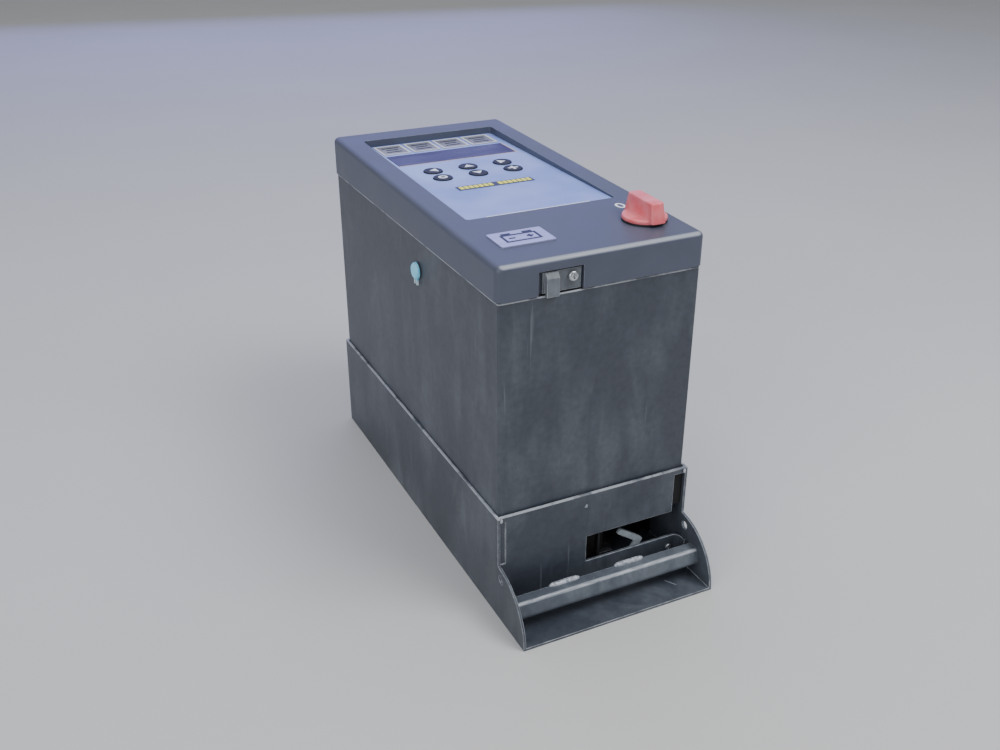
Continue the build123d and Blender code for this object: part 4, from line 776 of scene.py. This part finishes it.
class UNIT_OT_weld_beads(bpy.types.Operator):
    """Make rippled weld beads in the place of the plain ones"""
    bl_idname = "unit.weld_beads"
    bl_label = "Weld Beads"

    def execute(self, context):
        metal = weld_metal("brushed_weld_metal")
        pitch = marks().weld_pitch
        for node in ("rail_welds", "apron_welds"):
            shape = bmesh.new()
            for low, high in solid_boxes(node):
                middle = (low + high) / 2
                size = (high - low) / 2
                bead = bmesh.ops.create_uvsphere(shape, u_segments=40, v_segments=64, radius=1.0)["verts"]
                turned = Matrix.Rotation(math.radians(90), 4, "Y")
                bmesh.ops.transform(shape, matrix=turned, verts=bead)
                for vert in bead:
                    along = vert.co.x * size.x
                    swell = math.sqrt(max(1 - vert.co.x ** 6, 0)) / max(math.sqrt(1 - vert.co.x ** 2), 0.05)
                    ripple = 1 + 0.07 * math.cos(2 * math.pi * along / pitch)
                    vert.co.y *= min(swell, 2.5) * ripple * 0.95
                    vert.co.z *= min(swell, 2.5) * ripple * 0.95
                fitted = Matrix.Translation(middle) @ Matrix.Diagonal((size.x, size.y, size.z, 1))
                bmesh.ops.transform(shape, matrix=fitted, verts=bead)
            make_piece(f"{node}_rippled", shape, metal, "dock", (node,), smooth=True)
        return {"FINISHED"}


class UNIT_OT_coat_chips(bpy.types.Operator):
    """Chip the coat on the apron and scratch it on the dock's lip, down to pale primer"""
    bl_idname = "unit.coat_chips"
    bl_label = "Coat Chips"

    def execute(self, context):
        sheet = 2 * MM
        chip_left = 8.3 * MM        # from the apron's middle
        chip_drop = 10.7 * MM       # below the apron's top edge
        scratch_inset = 26.6 * MM   # from the tray's right side
        scratch_setback = 19.5 * MM     # behind the lip's edge
        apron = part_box("dock_apron")[1]
        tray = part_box("dock_tray")
        shape = bmesh.new()
        outline = [(-1.3, -1.2), (1.0, -1.6), (1.5, 0.7), (0.2, 1.8)]
        chip = slab(shape, [(x * MM, y * MM) for x, y in outline])
        place = Matrix.Translation((-chip_left, apron.y - sheet, apron.z - chip_drop))
        stand = place @ Matrix.Rotation(math.radians(90), 4, "X")
        bmesh.ops.transform(shape, matrix=stand, verts=chip)
        outline = [(-5.0, 0.9), (5.0, -0.9), (5.5, -0.5), (-4.5, 1.5)]
        scratch = slab(shape, [(x * MM, y * MM) for x, y in outline])
        place = Matrix.Translation((tray[1].x - scratch_inset, tray[0].y + scratch_setback, sheet))
        aslant = place @ Matrix.Rotation(math.radians(-48), 4, "Z")
        bmesh.ops.transform(shape, matrix=aslant, verts=scratch)
        primer = printing_ink("pale_primer", "#9a9ea6", fade=0.5)
        make_piece("coat_chips", shape, primer, "dock")
        return {"FINISHED"}


class UNIT_OT_slot_shade_strip(bpy.types.Operator):
    """Put a black strip behind the apron's slot, where the housing slides past: painted shade that makes the
    slot read black
    """
    bl_idname = "unit.buffer_strip"
    bl_label = "Slot Shade Strip"

    def execute(self, context):
        sheet = 2 * MM
        strip_width = 11 * MM
        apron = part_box("dock_apron")[1]
        low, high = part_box("housing_shell")
        size = Vector((strip_width, (low.y - apron.y) * 0.8, apron.z - low.z))
        corner = Vector((high.x, apron.y, apron.z - sheet))
        middle = corner + Vector((-size.x, size.y, -size.z)) / 2
        shape = bmesh.new()
        made = bmesh.ops.create_cube(shape, size=1.0)["verts"]
        fitted = Matrix.Translation(middle) @ Matrix.Diagonal((*size, 1))
        bmesh.ops.transform(shape, matrix=fitted, verts=made)
        bmesh.ops.bevel(shape, geom=shape.edges[:], offset=0.3 * MM, segments=3, profile=0.5, material=-1,
                        affect="EDGES")
        # Painted shade: a near-black matt finish on the strip stands in for the deep shade of the slot.
        foam = grained_moulding("black_slot_shade", "#08080a", "#141416", grain=0.8, rough=(0.8, 0.95))
        make_piece("black_slot_shade_strip", shape, foam, "dock")
        return {"FINISHED"}


class UNIT_OT_winding(bpy.types.Operator):
    """Wind the transformer with lapped tape"""
    bl_idname = "unit.winding"
    bl_label = "Transformer Winding"

    def execute(self, context):
        low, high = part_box("toroid_winding")
        middle = (low + high) / 2
        outer = (high.x - low.x) / 2
        inner = outer * 0.37        # radius of the hole
        half_width = (outer - inner) / 2
        half_height = (high.z - low.z) / 2
        shape = bmesh.new()
        made = bmesh.ops.create_circle(shape, segments=20, radius=1.0)
        section = Matrix.Translation((inner + half_width, 0, 0)) @ Matrix.Diagonal(
            (half_width, 1, half_height, 1)) @ Matrix.Rotation(math.radians(90), 4, "X")
        bmesh.ops.transform(shape, matrix=section, verts=made["verts"])
        for vert in made["verts"]:
            across = (vert.co.x - inner - half_width) / half_width
            up = vert.co.z / half_height
            square = (abs(across) ** 4 + abs(up) ** 4) ** 0.25
            vert.co.x = inner + half_width + across / square * half_width
            vert.co.z = up / square * half_height
        turns = 180                 # sections round the ring, four to each lap of tape
        bmesh.ops.spin(shape, geom=shape.verts[:] + shape.edges[:], cent=(0, 0, 0), axis=(0, 0, 1),
                       angle=2 * math.pi, steps=turns, use_merge=True)
        for vert in shape.verts:
            angle = math.atan2(vert.co.y, vert.co.x)
            lap = 1 - 0.012 * (1 + math.cos(angle * turns / 4))
            radius = math.hypot(vert.co.x, vert.co.y)
            pulled = inner + half_width + (radius - inner - half_width) * lap
            vert.co.x *= pulled / radius
            vert.co.y *= pulled / radius
            vert.co.z *= lap
        bmesh.ops.translate(shape, vec=middle, verts=shape.verts)
        make_piece("taped_winding", shape, wound_tape("amber_winding_tape"), "housing",
                   ("toroid_winding",), smooth=True)
        return {"FINISHED"}


class UNIT_OT_stage(bpy.types.Operator):
    """Set the floor, the soft lights and the camera"""
    bl_idname = "unit.stage"
    bl_label = "Stage"

    def execute(self, context):
        stage = context.scene.unit_stage
        shape = bmesh.new()
        bmesh.ops.create_grid(shape, x_segments=4, y_segments=4, size=stage.floor_size / 2)
        mesh = bpy.data.meshes.new("floor")
        shape.to_mesh(mesh)
        shape.free()
        mesh.materials.append(pale_floor("plain_floor", stage.floor_colour))
        floor = bpy.data.objects.new("floor", mesh)
        context.scene.collection.objects.link(floor)
        floor.location.z = -0.05 * MM

        world = bpy.data.worlds.new("soft_studio")
        world.use_nodes = True
        background = world.node_tree.nodes["Background"]
        background.inputs["Color"].default_value = linear("#cfd3dc")
        background.inputs["Strength"].default_value = 0.55
        context.scene.world = world

        self.add_light("overhead", (0.0, 0.2, 2.2), (0, 0, 0.2), 2.2, 26.0, "#f6f7fb")
        self.add_light("rear_soft", (0.5, 2.4, 1.3), (0, 0, 0.25), 2.4, 28.0, "#8288ec")
        self.add_light("high_front", (0.75, -1.0, 1.9), (0, -0.1, 0.15), 1.0, 26.0, "#f8fbff")
        self.add_light("left_front", (-1.9, -1.2, 1.0), (0, 0, 0.15), 1.6, 22.0, "#fbfcff")

        camera_data = bpy.data.cameras.new("camera")
        camera_data.lens = stage.lens
        camera_data.sensor_width = 36.0
        camera_data.sensor_fit = "HORIZONTAL"
        camera = bpy.data.objects.new("camera", camera_data)
        context.scene.collection.objects.link(camera)
        camera.location = stage.camera_place
        camera.rotation_euler = Vector(stage.camera_aim).to_track_quat("-Z", "Y").to_euler()
        context.scene.camera = camera
        return {"FINISHED"}

    def add_light(self, name, place, aim, size, power, colour):
        """A square soft light at a place, turned to its aim."""
        data = bpy.data.lights.new(name, "AREA")
        data.size = size
        data.energy = power
        data.color = linear(colour)[:3]
        light = bpy.data.objects.new(name, data)
        bpy.context.scene.collection.objects.link(light)
        light.location = place
        light.rotation_euler = (Vector(aim) - Vector(place)).to_track_quat("-Z", "Y").to_euler()


PIECE_OPERATORS = (
    UNIT_OT_sheet_metal, UNIT_OT_plated_parts, UNIT_OT_mouldings, UNIT_OT_panel_face,
    UNIT_OT_label_fields, UNIT_OT_key_signs, UNIT_OT_scale_bars, UNIT_OT_badge_face,
    UNIT_OT_switch_legend, UNIT_OT_weld_beads, UNIT_OT_coat_chips, UNIT_OT_slot_shade_strip,
    UNIT_OT_winding, UNIT_OT_stage)


class UNIT_PT_sidebar(bpy.types.Panel):
    """Lists the operators in the order that they run in"""
    bl_idname = "UNIT_PT_sidebar"
    bl_label = "Power Unit"
    bl_space_type = "VIEW_3D"
    bl_region_type = "UI"
    bl_category = "Power Unit"

    def draw(self, context):
        column = self.layout.column()
        for operator in PIECE_OPERATORS:
            column.operator(operator.bl_idname)
        for settings in (context.scene.unit_finishes, context.scene.unit_marks, context.scene.unit_stage):
            for name in settings.bl_rna.properties.keys():
                if name not in ("rna_type", "name"):
                    column.prop(settings, name)


CLASSES = (FinishSettings, MarkSettings, StageSettings) + PIECE_OPERATORS + (UNIT_PT_sidebar,)


def register():
    """Registers the classes and hangs the settings on the scene."""
    for item in CLASSES:
        bpy.utils.register_class(item)
    bpy.types.Scene.unit_finishes = bpy.props.PointerProperty(type=FinishSettings)
    bpy.types.Scene.unit_marks = bpy.props.PointerProperty(type=MarkSettings)
    bpy.types.Scene.unit_stage = bpy.props.PointerProperty(type=StageSettings)


def unregister():
    """Takes the settings and the classes away again."""
    del bpy.types.Scene.unit_finishes
    del bpy.types.Scene.unit_marks
    del bpy.types.Scene.unit_stage
    for item in reversed(CLASSES):
        bpy.utils.unregister_class(item)


def main():
    register()
    for operator in PIECE_OPERATORS:
        group, name = operator.bl_idname.split(".")
        getattr(getattr(bpy.ops, group), name)()


if __name__ == "__main__":
    main()
